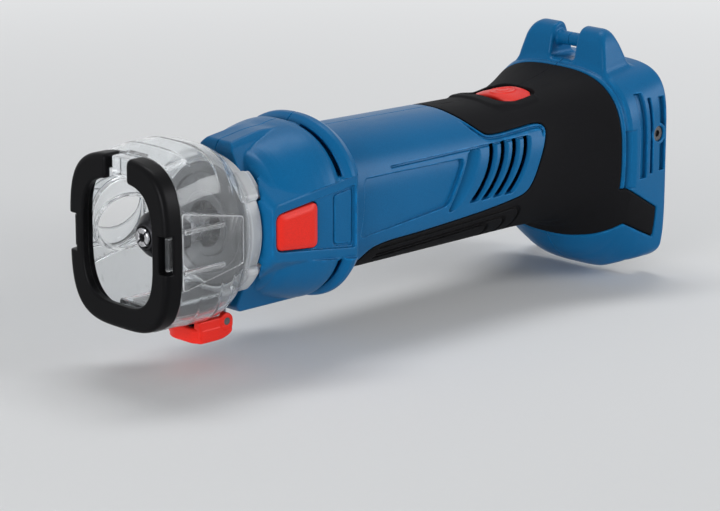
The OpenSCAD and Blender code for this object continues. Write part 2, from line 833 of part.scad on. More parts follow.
poles = 6;
tooth_w = 7;
yoke_t = 4;
shoe_t = 2;
shoe_w = 11;
module stator_core() {
    color(steel)
        translate([x_stator_rear, 0, 0]) rotate([0, 90, 0]) linear_extrude(height = stator_len)
            difference() {
                union() {
                    difference() {
                        circle(d = stator_d);
                        circle(d = stator_d - 2 * yoke_t);
                    }
                    for (k = [0 : poles - 1]) rotate(360 * k / poles) {
                        translate([0, -tooth_w / 2]) square([stator_d / 2 - yoke_t / 2, tooth_w]);
                        translate([0, -shoe_w / 2]) square([stator_bore / 2 + shoe_t, shoe_w]);
                    }
                }
                circle(d = stator_bore);
            }
}

coil_t = 2.6;
coil_end = 3.4;
coil_gap = 0.2;
coil_low = stator_bore / 2 + shoe_t + coil_gap;
coil_head = 1.2;
coil_high = stator_d / 2 - yoke_t - coil_head;
module stator_windings() {
    color([0.72, 0.42, 0.2])
        for (k = [0 : poles - 1]) rotate([360 * k / poles, 0, 0])
            difference() {
                block([x_stator_rear - coil_end, -tooth_w / 2 - coil_t, coil_low],
                    [x_stator + coil_end, tooth_w / 2 + coil_t, coil_high]);
                block([x_stator_rear, -tooth_w / 2, coil_low - over],
                    [x_stator, tooth_w / 2, coil_high + over]);
            }
}

board_t = 1.6;
x_board = x_stator_rear - coil_end;
module sensor_board() {
    color([0.1, 0.4, 0.2])
        ring_rod(stator_d / 2, stator_bore / 2, x_board - board_t, x_board);
}

rotor_gap = 0.7;
magnet_t = 1.8;
magnet_angle = 80;
magnet_count = 4;
rotor_r = stator_bore / 2 - rotor_gap;
module rotor_core() {
    color([0.45, 0.45, 0.47]) ring_rod(rotor_r - magnet_t, shaft_d / 2, x_stator_rear, x_stator);
}

module rotor_magnets() {
    color([0.3, 0.3, 0.32])
        for (k = [0 : magnet_count - 1]) rotate([360 * k / magnet_count, 0, 0])
            turned([[rotor_r - magnet_t, x_stator_rear], [rotor_r, x_stator_rear],
                [rotor_r, x_stator], [rotor_r - magnet_t, x_stator]], magnet_angle);
}

fan_hub_d = 16;
fan_plate = 1.6;
fan_blade_t = 1.4;
fan_lean = 35;
fan_eye_share = 0.55;
module cooling_fan() {
    color(rubber_black)
        difference() {
            union() {
                ring_rod(fan_hub_d / 2, 0, x_fan_rear, x_fan);
                ring_rod(fan_d / 2, 0, x_fan - fan_plate, x_fan);
                for (k = [0 : fan_blades - 1]) rotate([360 * k / fan_blades, 0, 0])
                    translate([0, fan_d / 2 * fan_eye_share, 0]) rotate([fan_lean, 0, 0])
                        block([x_fan_rear + fan_plate, 0, -fan_blade_t / 2],
                            [x_fan, fan_d / 2 * (1 - fan_eye_share) - over, fan_blade_t / 2]);
            }
            x_rod(shaft_d / 2, x_fan_rear - over, x_fan + over);
        }
}

// Spindle: collet seat, nut thread, bearing seats and the notched lock collar in one turned shaft

collar_d = 18;
collar_len = 9;
notch_depth = 3.6;
notch_w = 5;
notch_count = 4;
tip_clear = 0.6;
collet_back = 1.2;
collet_bore_d = 8.2;
spindle_shoulder_d = 15;
spindle_shoulder = 2;
nut_gap = 0.5;
nut_front = 1;
x_nut_rear = -nut_front - nut_len;
shaft_stub = 1;
x_shaft_end = x_rear_bearing - shaft_stub;
module motor_shaft() {
    color(steel)
        difference() {
            union() {
                turned([[0, x_shaft_end], [rear_shaft_d / 2, x_shaft_end], [rear_shaft_d / 2, x_bulk],
                    [shaft_d / 2, x_bulk], [shaft_d / 2, x_bearing + bearing_w],
                    [spindle_neck_d / 2, x_bearing + bearing_w],
                    [spindle_neck_d / 2, x_nut_rear - nut_gap - spindle_shoulder],
                    [spindle_shoulder_d / 2, x_nut_rear - nut_gap - spindle_shoulder],
                    [spindle_shoulder_d / 2, x_nut_rear - nut_gap], [spindle_d / 2, x_nut_rear - nut_gap],
                    [spindle_d / 2, -collet_front], [collet_bore_d / 2, -collet_front],
                    [collet_bore_d / 2, -collet_len - collet_back], [0, -collet_len - collet_back]]);
                ring_rod(collar_d / 2, shaft_d / 2, x_lock - collar_len / 2, x_lock + collar_len / 2);
            }
            for (k = [0 : notch_count - 1]) rotate([360 * k / notch_count, 0, 0])
                block([x_lock - notch_w / 2, collar_d / 2 - notch_depth, -notch_w / 2],
                    [x_lock + notch_w / 2, collar_d, notch_w / 2]);
        }
}

collet_front = 4;
collet_taper = 3.2;
slit_w = 0.6;
slit_count = 4;
slit_share = 0.75;
slit_turn = 45;
module collet() {
    color(steel)
        difference() {
            turned([[bit_d / 2, 0], [collet_d / 2, 0], [collet_bore_d / 2, -collet_taper],
                [collet_bore_d / 2, -collet_len], [bit_d / 2, -collet_len]]);
            for (k = [0 : slit_count - 1]) rotate([slit_turn + 360 * k / slit_count, 0, 0])
                block([-collet_len * slit_share, 0, -slit_w / 2], [over, collet_d, slit_w / 2]);
        }
}

nut_cone = 4.5;
nut_bead = 1.4;
nut_collar_d = nut_af + nut_bead;
nut_collar_len = 5;
nut_mouth_gap = 0.6;
nut_mouth_d = collet_d + nut_mouth_gap;
nut_mouth = 2;
nut_mouth_wall = 1;
nut_relief = 0.3;
module collet_nut() {
    color([0.12, 0.12, 0.13])
        difference() {
            union() {
                turned([[0, -nut_front], [nut_mouth_d / 2 + nut_mouth_wall, -nut_front],
                    [nut_collar_d / 2, -nut_front - nut_cone],
                    [nut_collar_d / 2, -nut_front - nut_cone - nut_collar_len],
                    [0, -nut_front - nut_cone - nut_collar_len]]);
                translate([x_nut_rear, 0, 0]) rotate([0, 90, 0])
                    cylinder(d = nut_af / cos(30), h = nut_len - nut_cone - nut_collar_len / 2, $fn = 6);
            }
            x_rod(nut_mouth_d / 2 + nut_relief, -collet_front, over);
            x_rod(spindle_d / 2 + fit, x_nut_rear - over, -collet_front + nut_mouth / 2);
        }
}

// Spindle lock

tip_y = collar_d / 2 + tip_clear;
module lock_button() {
    color(red)
        difference() {
            side_cut(button_outline(0), button_y - button_t, button_y);
            y_rod(pin_r, x_lock, 0, button_y - button_t - over, button_y - button_t / 2);
        }
}

module lock_pin() { color(steel) y_rod(pin_r, x_lock, 0, tip_y, button_y - button_t / 2); }

// Return spring of the lock, one wire wound about the pin
spring_wire = 0.8;
spring_turns = 4;
spring_rings = 8;
spring_sides = 6;
spring_r = spring_seat - spring_wire / 2 - clear;
spring_low = button_stop - spring_gap + spring_wire / 2;
spring_high = button_y - button_t - spring_wire / 2;
spring_count = spring_turns * spring_rings;
function spring_point(k) =
    let(q = 360 * k / spring_rings, u = k / spring_count)
    [x_lock + spring_r * cos(q), mix(spring_low, spring_high, u), spring_r * sin(q)];
function spring_ring(k) =
    let(q = 360 * k / spring_rings, p = spring_point(k))
    [for (i = [0 : spring_sides - 1]) let(a = -360 * i / spring_sides)
        p + spring_wire / 2 * [cos(q) * cos(a), sin(a), sin(q) * cos(a)]];
module lock_spring() {
    color(steel) loft([for (k = [0 : spring_count]) spring_ring(k)]);
}

// Controls and electronics in the rear of the handle

module_len = 46;
module_w = 34;
module_h = 14;
fin_count = 6;
fin_t = 1.6;
fin_h = 6;
module control_module() {
    color(steel)
        union() {
            block([x_bay - module_len, -module_w / 2, -bay_h / 2],
                [x_bay, module_w / 2, -bay_h / 2 + module_h]);
            for (k = [0 : fin_count - 1])
                let(y = mix(-module_w / 2, module_w / 2 - fin_t, k / (fin_count - 1)))
                    block([x_bay - module_len, y, -bay_h / 2 + module_h - over],
                        [x_bay, y + fin_t, -bay_h / 2 + module_h + fin_h]);
        }
}

control_board_t = 1.6;
control_z = -bay_h / 2 + module_h + fin_h;
module control_board() {
    color([0.1, 0.4, 0.2])
        block([x_bay - module_len, -module_w / 2, control_z],
            [x_bay, module_w / 2, control_z + control_board_t]);
}

module motor_leads() {
    color([0.8, 0.5, 0.2])
        for (k = [-1 : 1])
            translate([0, k * lead_step, lead_z]) x_rod(lead_r, x_bay - lead_tail, x_board - board_t);
}
switch_h = 4.6;
switch_fall = 1.2;
switch_crown = 2.6;
switch_proud = 0.5;
switch_block_h = 9;
module switch_block() {
    color([0.15, 0.15, 0.16])
        block([x_switch_rear, -bay_w / 2, bay_h / 2 - switch_block_h], [x_switch, bay_w / 2, bay_h / 2]);
}

crown_steps = 8;
switch_top = hump_z + switch_proud;
function crown(from, to, z, rise) = [for (k = [0 : crown_steps]) let(u = k / crown_steps)
    [mix(from, to, u), z + rise * sin(180 * u)]];
module switch_cap() {
    color(red)
        union() {
            intersection() {
                side_cut([[x_switch_rear, hump_z - switch_h], [x_switch, hump_z - switch_h],
                    [x_switch, switch_top], [x_stem, switch_top],
                    [x_switch_rear, switch_top - switch_fall]], -switch_w / 2, switch_w / 2);
                cross_cut(concat([[-switch_w / 2, switch_z], [switch_w / 2, switch_z]],
                    crown(switch_w / 2, -switch_w / 2, switch_top - switch_crown, switch_crown)),
                    x_switch_rear, x_switch);
            }
            block([x_stem - stem_len / 2, -stem_w / 2, bay_h / 2 + clear],
                [x_stem + stem_len / 2, stem_w / 2, hump_z - switch_h + over]);
        }
}

// Battery shoe and contacts

shoe_base = 4;
shoe_lip = 3.5;
shoe_foot = 8;
shoe_stop = 3;
terminal_w = 32;
terminal_h = 26;
terminal_z = -9;
terminal_out = 4;
terminal_in = 4;
blade_t = 0.8;
blade_count = 4;
blade_step = 7;
blade_h = 16;
blade_out = 3;
module battery_shoe() {
    color(rubber_black)
        difference() {
            block([x_rear, -shoe_y, -foot_drop + shoe_foot], [x_shoe, shoe_y, shoe_top]);
            block([x_rear + shoe_lip, -channel_w / 2, -foot_drop],
                [x_shoe - shoe_base, channel_w / 2, shoe_top - shoe_stop]);
            block([x_rear - over, -rail_gap / 2, -foot_drop],
                [x_shoe - shoe_base, rail_gap / 2, shoe_top - shoe_stop]);
            block([x_shoe - shoe_base - over, -terminal_w / 2, terminal_z],
                [x_shoe + over, terminal_w / 2, terminal_z + terminal_h]);
            for (s = [-1, 1]) mirrored(s) y_rod(shoe_screw_r, x_shoe_screw, shoe_screw_z, 0, rim_w);
        }
}

module shoe_screws() {
    color(steel)
        for (s = [-1, 1]) mirrored(s)
            translate([x_shoe_screw, shoe_head_y, shoe_screw_z]) rotate([-90, 0, 0])
                screw(shoe_screw_head, screw_head_t, shoe_screw_r, shoe_head_y - channel_w / 2);
}

x_terminal = x_shoe - shoe_base - terminal_out;
module terminal_block() {
    color([0.15, 0.15, 0.16])
        difference() {
            block([x_terminal, -terminal_w / 2, terminal_z],
                [x_cavity_rear + terminal_in, terminal_w / 2, terminal_z + terminal_h]);
            blade_set();
            for (s = [-1, 1]) translate([0, s * lead_step, terminal_z + terminal_h / 2])
                x_rod(lead_r, x_cavity_rear, x_cavity_rear + terminal_in + over);
        }
}

module blade_set() {
    for (k = [0 : blade_count - 1])
        translate([0, (k - (blade_count - 1) / 2) * blade_step, terminal_z + terminal_h / 2])
            block([x_terminal - blade_out, -blade_t / 2, -blade_h / 2],
                [x_terminal + 2 * terminal_out, blade_t / 2, blade_h / 2]);
}

module battery_blades() { color([0.8, 0.7, 0.4]) blade_set(); }

module battery_leads() {
    color([0.75, 0.15, 0.12])
        for (s = [-1, 1]) translate([0, s * lead_step, terminal_z + terminal_h / 2])
            x_rod(lead_r, x_cavity_rear, x_bay - module_len + lead_tail);
}

// Clear dust hood

x_hood = hood_reach - ring_len;
hood_back = 1;
collar_r = 29.2;
collar_wall = 3.9;
collar_depth = 4.7;
x_collar = x_flange - hood_back;
// Sections: station share, width share, top share, drop share and corner share
hood_shares = [[0, 1.01, 0.797, 0.92, 1], [0.1, 0.965, 0.885, 0.97, 0.82],
    [0.24, 0.97, 0.94, 0.985, 0.68], [0.42, 0.985, 0.972, 0.99, 0.6], [0.7, 0.995, 0.99, 1, 0.56],
    [1, 1, 1, 1, 0.56]];
function hood_ring(s, inset) = [for (i = [0 : full_steps - 1])
    let(q = 360 * i / full_steps)
    [mix(x_collar, x_hood, s[0]), (hood_w / 2 * s[1] - inset) * signed_pow(cos(q), s[4]),
        (sin(q) < 0 ? hood_drop * s[3] - inset : hood_top * s[2] - inset) * signed_pow(sin(q), s[4])]];
module hood_form(inset) {
    loft([for (s = hood_shares) hood_ring(s, inset)]);
}

rail_guide_wall = 2;
channel_top = rail_z + rail_t + clear;
pivot_back = 3;
pivot_r = 3.4;
pivot_drop = 3;
x_pivot = x_flange - pivot_back;
z_pivot = -hood_drop - pivot_drop;
lug_half = 5.5;
x_channel = x_collar - collar_depth - over;
snap_len = 5;
snap_h = 13;
key_len = 5.3;
key_w = 11.2;
key_h = 8;
key_root = 4;
port_axis = [-0.3, -0.9, 0.3];
port_root = [-9, -20, 1];
port_len = 16;
port_wall = 1.8;
panel_rise = 0.7;
panel_front_h = 31;
panel_rear_h = 19;
hood_panel_len = 31;
module hood_port(r, from, to) {
    translate(port_root)
        rotate([0, acos(port_axis[2] / norm(port_axis)), atan2(port_axis[1], port_axis[0])])
            translate([0, 0, from]) cylinder(r = r, h = to - from);
}

module dust_hood() {
    color([0.8, 0.86, 0.9, 0.4])
        difference() {
            union() {
                difference() {
                    union() {
                        hood_form(0);
                        ring_rod(collar_r, collar_r - collar_wall, x_collar - collar_depth, x_collar + over);
                        for (s = [-1, 1]) mirrored(s)
                            side_cut([[x_hood, -panel_front_h / 2], [x_hood, panel_front_h / 2],
                                [x_hood - hood_panel_len, panel_rear_h / 2],
                                [x_hood - hood_panel_len, -panel_rear_h / 2]],
                                hood_w / 2 - hood_wall, hood_w / 2 + panel_rise);
                    }
                    hood_form(hood_wall);
                    x_rod(collar_r - collar_wall, x_collar - collar_depth - over, x_collar + 2 * over);
                }
                block([x_guide_rear, -rail_w / 2 - clear - rail_guide_wall, -hood_drop],
                    [x_hood - over, rail_w / 2 + clear + rail_guide_wall, channel_top + rail_guide_wall]);
                hood_port(port_d / 2 + port_wall, 0, port_len);
                for (a = tab_turns)
                    rotate([a, 0, 0]) tab(tab_r, tab_r + tab_t, x_tab, x_collar - over, 0);
                for (s = [-1, 1]) mirrored(s)
                    block([x_hood - over, hood_w / 2 - hood_wall, -snap_h / 2],
                        [x_hood + snap_len, hood_w / 2 - clear, snap_h / 2]);
                block([x_hood - key_root, -key_w / 2, ring_h / 2 - key_h],
                    [x_hood + key_len, key_w / 2, ring_h / 2]);
                block([x_hood - key_root, -key_w / 2, ring_h / 2 - over],
                    [x_hood - over, key_w / 2, hood_top - hood_wall / 2]);
                pivot_lug();
            }
            block([x_channel, -rail_w / 2 - clear, rail_z - clear],
                [x_hood + over, rail_w / 2 + clear, channel_top]);
            hood_port(port_d / 2, -over, port_len + over);
            clamp_shoe_body();
            y_rod(pin_d / 2, x_pivot, z_pivot, -lever_w, lever_w);
        }
}

module pivot_lug() {
    y_rod(pivot_r, x_pivot, z_pivot, -lug_half, lug_half);
    block([x_pivot - pivot_r, -lug_half, z_pivot], [x_guide_rear + 2 * pivot_r, lug_half, -hood_drop + over]);
}

// Foot ring

ring_round = 3;
ring_lip = 1.6;
ring_slot_h = 15;
ring_slot_len = 5.6;
// Rounding of the front edge: shares of the rounding radius back from the face, and drawn in
ring_round_shares = [[1, 0], [0.5, 0.13], [0.13, 0.5], [0, 1]];
function ring_section(x, w, h) = [for (i = [0 : full_steps - 1])
    let(q = 360 * i / full_steps)
    [x, w / 2 * signed_pow(cos(q), ring_edge_share), h / 2 * signed_pow(sin(q), ring_edge_share)]];
module foot_ring() {
    color(rubber_black)
        difference() {
            loft([for (s = concat([[ring_len / ring_round, 0]], ring_round_shares))
                ring_section(hood_reach - s[0] * ring_round, ring_w - 2 * s[1] * ring_round,
                    ring_h - 2 * s[1] * ring_round)]);
            loft([ring_section(x_hood - over, ring_in_w, ring_in_h),
                ring_section(hood_reach - ring_lip, ring_in_w, ring_in_h),
                ring_section(hood_reach + ring_lip, ring_in_w + 2 * ring_lip, ring_in_h + 2 * ring_lip)]);
            block([x_hood - over, -ring_gap / 2, 0], [hood_reach + over, ring_gap / 2, ring_h]);
            for (s = [-1, 1]) mirrored(s)
                block([x_hood - over, hood_w / 2 - 2 * hood_wall - over, -ring_slot_h / 2],
                    [x_hood + ring_slot_len, ring_w, ring_slot_h / 2]);
        }
}

// Clamp lever, its pin and the shoe that it presses on the rail

lever_front_w = 14;
lever_front = 1.6;
lever_rear = 2.4;
lever_heel = 2.4;
x_lever = x_pivot + lever_len - lever_rear;
lever_drop = 1;
lever_z = z_pivot - lever_drop;
shoe_pad_len = 7;
shoe_pad_w = 9;
shoe_pad_back = 7;
module clamp_shoe_body() {
    block([x_pivot + shoe_pad_back, -shoe_pad_w / 2, lever_z + clear],
        [x_pivot + shoe_pad_back + shoe_pad_len, shoe_pad_w / 2, rail_z - clear]);
}

module clamp_shoe() { color(rubber_black) clamp_shoe_body(); }

module lever_pin() { color(steel) y_rod(pin_d / 2, x_pivot, z_pivot, -lever_w / 2, lever_w / 2); }

module clamp_lever() {
    color(red)
        difference() {
            union() {
                intersection() {
                    translate([0, 0, lever_z - lever_t]) linear_extrude(height = lever_t)
                        polygon([[x_pivot - lever_rear, -lever_w / 2], [x_lever - lever_front, -lever_w / 2],
                            [x_lever, -lever_front_w / 2], [x_lever, lever_front_w / 2],
                            [x_lever - lever_front, lever_w / 2], [x_pivot - lever_rear, lever_w / 2]]);
                    side_cut([[x_pivot - lever_rear, lever_z],
                        [x_pivot - lever_rear, lever_z - lever_t + lever_heel],
                        [x_pivot + lever_heel, lever_z - lever_t], [x_lever, lever_z - lever_t],
                        [x_lever, lever_z]], -lever_w, lever_w);
                }
                for (s = [-1, 1]) mirrored(s) y_rod(pivot_r, x_pivot, z_pivot, lug_half + clear, lever_w / 2);
            }
            block([x_pivot - lever_len, -lug_half - clear, lever_z - lever_t - over],
                [x_pivot + pivot_r + 2 * clear, lug_half + clear, z_pivot + lever_t]);
            y_rod(pin_d / 2 + fit, x_pivot, z_pivot, -lever_w, lever_w);
        }
}

housing_left();
housing_right();
grip_left();
grip_right();
housing_screws();
front_flange();
depth_rail();
rail_screws();
front_bearing_outer();
rear_bearing_outer();
stator_core();
stator_windings();
sensor_board();
motor_leads();
control_module();
control_board();
switch_block();
battery_shoe();
shoe_screws();
terminal_block();
battery_blades();
battery_leads();
lock_spring();
motor_shaft();
rotor_core();
rotor_magnets();
cooling_fan();
front_bearing_inner();
rear_bearing_inner();
collet();
collet_nut();
lock_button();
lock_pin();
switch_cap();
dust_hood();
foot_ring();
lever_pin();
clamp_shoe();
clamp_lever();
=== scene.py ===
"""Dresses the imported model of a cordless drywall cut-out tool: shells, clear hood, finishes and stage."""

import math

import bpy
import numpy as np
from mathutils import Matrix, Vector


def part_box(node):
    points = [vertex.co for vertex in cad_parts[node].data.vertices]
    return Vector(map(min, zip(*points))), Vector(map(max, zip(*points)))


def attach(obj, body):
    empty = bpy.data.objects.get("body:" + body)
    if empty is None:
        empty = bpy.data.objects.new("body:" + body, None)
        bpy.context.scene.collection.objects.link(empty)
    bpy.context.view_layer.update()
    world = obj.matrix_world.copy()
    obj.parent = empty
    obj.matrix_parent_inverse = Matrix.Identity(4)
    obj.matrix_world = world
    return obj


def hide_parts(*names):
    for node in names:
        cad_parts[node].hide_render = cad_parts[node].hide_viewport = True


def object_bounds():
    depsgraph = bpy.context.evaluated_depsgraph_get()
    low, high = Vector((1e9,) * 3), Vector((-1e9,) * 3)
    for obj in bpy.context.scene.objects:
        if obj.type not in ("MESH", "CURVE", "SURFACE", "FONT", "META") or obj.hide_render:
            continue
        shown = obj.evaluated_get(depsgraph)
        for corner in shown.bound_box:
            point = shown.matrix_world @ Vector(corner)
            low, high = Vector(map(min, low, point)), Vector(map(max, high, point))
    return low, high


bl_info = {
    "name": "Cut-out tool dresser",
    "version": (1, 0, 0),
    "blender": (4, 5, 0),
    "location": "View3D > Sidebar > Cut-out tool",
    "description": "Moulded shells, clear hood, finishes and stage for a cordless drywall cut-out tool",
    "category": "Object",
}

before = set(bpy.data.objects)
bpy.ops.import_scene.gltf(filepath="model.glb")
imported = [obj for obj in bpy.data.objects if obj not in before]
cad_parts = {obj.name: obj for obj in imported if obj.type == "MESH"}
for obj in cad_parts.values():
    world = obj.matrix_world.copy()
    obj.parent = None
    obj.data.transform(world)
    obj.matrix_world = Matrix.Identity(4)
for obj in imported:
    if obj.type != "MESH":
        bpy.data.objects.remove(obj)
CAD_LOW, CAD_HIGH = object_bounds()

# Units: forms are worked out in millimetres and cast in metres
MM = 0.001
FLOAT = np.float32


def node_box(name):
    """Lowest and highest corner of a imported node, in millimetres."""
    low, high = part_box(name)
    return np.array(low) / MM, np.array(high) / MM


# Stations along the axis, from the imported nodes
HOUSING_LOW, HOUSING_HIGH = node_box("housing_left")
X_NOSE = HOUSING_HIGH[0]
X_REAR = HOUSING_LOW[0]
X_FLANGE = node_box("front_flange")[1][0]
RIM_HALF = HOUSING_HIGH[1]
FOOT_DROP = -HOUSING_LOW[2]
X_BELL = X_NOSE - 34.0
X_SLOT = X_BELL - 2.5
X_LIP = X_SLOT - 3.0
X_BARREL = X_LIP - 8.5
X_CREST = X_REAR + 24.0
X_RIM = X_CREST + 5.0
X_FLARE = X_RIM + 41.0
HANDLE_LEN = X_BARREL - X_RIM

# Handle sections
BARREL_HALF = 28.0
BARREL_RISE = 30.2
BARREL_DIP = 2.4
RIM_STEP = 1.8
FOOT_HALF = 40.3
FOOT_TOP = 37.3
BARREL_SHARE = 0.83
RIM_SHARE = 0.70
FOOT_SHARE = 0.44
BELLY_RIM_SHARE = 0.82
BELLY_FOOT_SHARE = 0.36
BELLY_SHARES = [(0, 0), (0.243, 0.012), (0.371, 0.06), (0.471, 0.19), (0.537, 0.385), (0.571, 0.53),
                (0.619, 0.676), (0.686, 0.813), (0.794, 0.957), (0.886, 1), (1, 1)]
BELLY_EASE = 1.5
GRIP_T = 2.2

# Edge radii of the cast forms, from sharp to large
SHARP = 0.2
CRISP = 0.3
FINE = 0.4
NEAT = 0.5
EASED = 0.6
MILD = 0.7
SOFT = 0.8
ROUND = 1.0
FULL = 1.2
WIDE = 1.5
BROAD = 1.6
LARGE = 2.2

# Levels and stations that lie beyond the tool, for cuts that run out of it
OUTSIDE = 60.0
BELOW = 90.0
BEHIND = 9.0

# A guard that keeps divisions and powers off zero, and a distance beyond any outline
TINY = 1e-4
FAR = 1e9


# Shape helpers


def share_of(x, start, end):
    """Where x lies between two stations, from 0 to 1."""
    return np.clip((x - start) / (end - start), 0, 1)


def mix(a, b, u):
    """From a to b."""
    return a + (b - a) * u


def trumpet(u):
    """A quarter wave that starts level."""
    return 1 - np.cos(math.pi / 2 * u)


def round_add(a, b, r):
    """Union of two fields with a fillet of about 0.6 r."""
    h = np.clip(0.5 + 0.5 * (b - a) / r, 0, 1)
    return b + (a - b) * h - r * h * (1 - h)


def round_both(a, b, r):
    """Intersection of two fields with a rounded edge of about 0.6 r."""
    return -round_add(-a, -b, r)


def round_cut(a, b, r):
    """Field a less field b, with rounded edges of about 0.6 r."""
    return -round_add(-a, b, r)


def plane(u, v, start, end):
    """Distance from the line through two points, positive on the left of its direction."""
    du, dv = end[0] - start[0], end[1] - start[1]
    return ((v - start[1]) * du - (u - start[0]) * dv) / math.hypot(du, dv)


def convex(u, v, corners, r):
    """Field of a convex outline, listed clockwise, with rounded corners."""
    d = plane(u, v, corners[-1], corners[0])
    for start, end in zip(corners, corners[1:]):
        d = round_both(d, plane(u, v, start, end), r)
    return d


def slab(v, low, high):
    """Field of the space between two planes."""
    return np.abs(v - (low + high) / 2) - (high - low) / 2


def brick(x, y, z, low, high, r):
    """Field of a block with rounded edges."""
    d = round_both(slab(x, low[0], high[0]), slab(y, low[1], high[1]), r)
    return round_both(d, slab(z, low[2], high[2]), r)


def rod(u, v, w, centre, radius, low, high, r):
    """Field of a cylinder along w with rounded rims."""
    return round_both(np.hypot(u - centre[0], v - centre[1]) - radius, slab(w, low, high), r)


def ridge(u, height, place, width):
    """A smooth ridge across u."""
    return height * np.exp(-((u - place) / width) ** 2)


def sector(y, z, middle, half):
    """Distance round the axis from four like sectors, by their middle and half angle in degrees."""
    turn = np.degrees(np.arctan2(np.abs(z), np.abs(y)))
    return np.radians(np.abs(turn - middle) - half) * np.hypot(y, z)


def spline(points, steps):
    """A smooth run through points."""
    p = np.array([points[0], *points, points[-1]], float)
    u = (np.arange(steps) / steps)[:, None]
    runs = []
    for a, b, c, d in zip(p, p[1:], p[2:], p[3:]):
        runs.append((2 * b + (c - a) * u + (2 * a - 5 * b + 4 * c - d) * u**2
                     + (3 * b - a - 3 * c + d) * u**3) / 2)
    return np.vstack([*runs, p[-1:]])


def softened(row, step, reach):
    """Rows of evenly spaced values, smoothed over a reach to each side."""
    count = max(1, int(reach / step))
    return np.convolve(np.pad(row, count, mode="edge"), np.ones(2 * count + 1) / (2 * count + 1), "valid")


class Skin:
    """A lofted skin, told by station: half width, rise, drop, and squareness above and below."""

    STEP = 0.25

    def __init__(self, low, high, sections):
        self.x = np.arange(low, high + self.STEP, self.STEP)
        self.rows = [np.asarray(row, float) for row in sections(self.x)]
        self.slopes = [np.gradient(row, self.STEP) / row for row in self.rows[:3]]

    def __call__(self, x, y, z):
        half, rise, drop, above, below = (np.interp(x, self.x, row).astype(FLOAT) for row in self.rows)
        half_slope, rise_slope, drop_slope = (np.interp(x, self.x, row).astype(FLOAT) for row in self.slopes)
        up = z > 0
        height = np.where(up, rise, drop)
        power = np.where(up, above, below)
        a, b = np.abs(y) + TINY, np.abs(z) + TINY
        side, level = (a / half) ** power, (b / height) ** power
        total = side + level
        reach = total ** (1 / power)
        scale = reach / total
        slope = side * half_slope + level * np.where(up, rise_slope, drop_slope)
        steep = scale * np.sqrt((side / a) ** 2 + (level / b) ** 2 + slope**2)
        return (reach - 1) / steep


class SideMap:
    """Signed distance to an outline drawn on the tool's side, looked up on a fine grid."""

    LAST_CELL = 1.001

    def __init__(self, outline, step=0.4, margin=9.0):
        points = np.asarray(outline, float)
        self.step = step
        self.low = points.min(0) - margin
        count = np.ceil((points.max(0) + margin - self.low) / step).astype(int) + 1
        u, v = np.meshgrid(*(self.low[k] + step * np.arange(count[k]) for k in (0, 1)), indexing="ij")
        nearest = np.full(u.shape, FAR)
        inside = np.zeros(u.shape, bool)
        for a, b in zip(points, np.roll(points, -1, 0)):
            run = b - a
            t = np.clip(((u - a[0]) * run[0] + (v - a[1]) * run[1]) / max(run @ run, TINY), 0, 1)
            nearest = np.minimum(nearest, np.hypot(u - a[0] - t * run[0], v - a[1] - t * run[1]))
            if a[1] != b[1]:
                crossing = (a[1] > v) != (b[1] > v)
                inside ^= crossing & (u < a[0] + (v - a[1]) / (b[1] - a[1]) * run[0])
        self.values = np.where(inside, -nearest, nearest).astype(FLOAT)

    def __call__(self, u, v):
        limit = np.array(self.values.shape) - self.LAST_CELL
        i = np.clip((u - self.low[0]) / self.step, 0, limit[0])
        j = np.clip((v - self.low[1]) / self.step, 0, limit[1])
        i0, j0 = i.astype(int), j.astype(int)
        fi, fj = (i - i0).astype(FLOAT), (j - j0).astype(FLOAT)
        t = self.values
        low = t[i0, j0] * (1 - fi) + t[i0 + 1, j0] * fi
        high = t[i0, j0 + 1] * (1 - fi) + t[i0 + 1, j0 + 1] * fi
        return low * (1 - fj) + high * fj


# Casting a field as a mesh

BLOCK = 4
BATCH = 400000
REACH = 1.35
CORNERS = [(i, j, k) for i in (0, 1) for j in (0, 1) for k in (0, 1)]
EDGES = [(a, b) for a in range(8) for b in range(a + 1, 8)
         if sum(p != q for p, q in zip(CORNERS[a], CORNERS[b])) == 1]


def sample(field, points):
    """A field's values at rows of points, in batches."""
    parts = [field(*np.ascontiguousarray(points[k:k + BATCH].T, FLOAT)) for k in range(0, len(points), BATCH)]
    return np.concatenate(parts).astype(FLOAT)


def grid_of(field, low, high, step):
    """Field values on a grid, exact near the surface and rough elsewhere."""
    blocks = np.ceil((np.asarray(high) - low) / (step * BLOCK)).astype(int)
    centres = np.stack(np.meshgrid(*(np.arange(n) for n in blocks), indexing="ij"), -1).reshape(-1, 3)
    rough = sample(field, low + (centres + 0.5) * step * BLOCK).reshape(blocks)
    near = np.abs(rough) < REACH * step * BLOCK * math.sqrt(3) / 2
    for axis in range(3):
        rough = np.repeat(rough, BLOCK, axis)
        near = np.repeat(near, BLOCK, axis)
    values = np.pad(rough, ((0, 1),) * 3, mode="edge")
    wanted = np.zeros(values.shape, bool)
    for i, j, k in CORNERS:
        wanted[i:i + near.shape[0], j:j + near.shape[1], k:k + near.shape[2]] |= near
    places = np.argwhere(wanted)
    values[wanted] = sample(field, low + places * step)
    return values


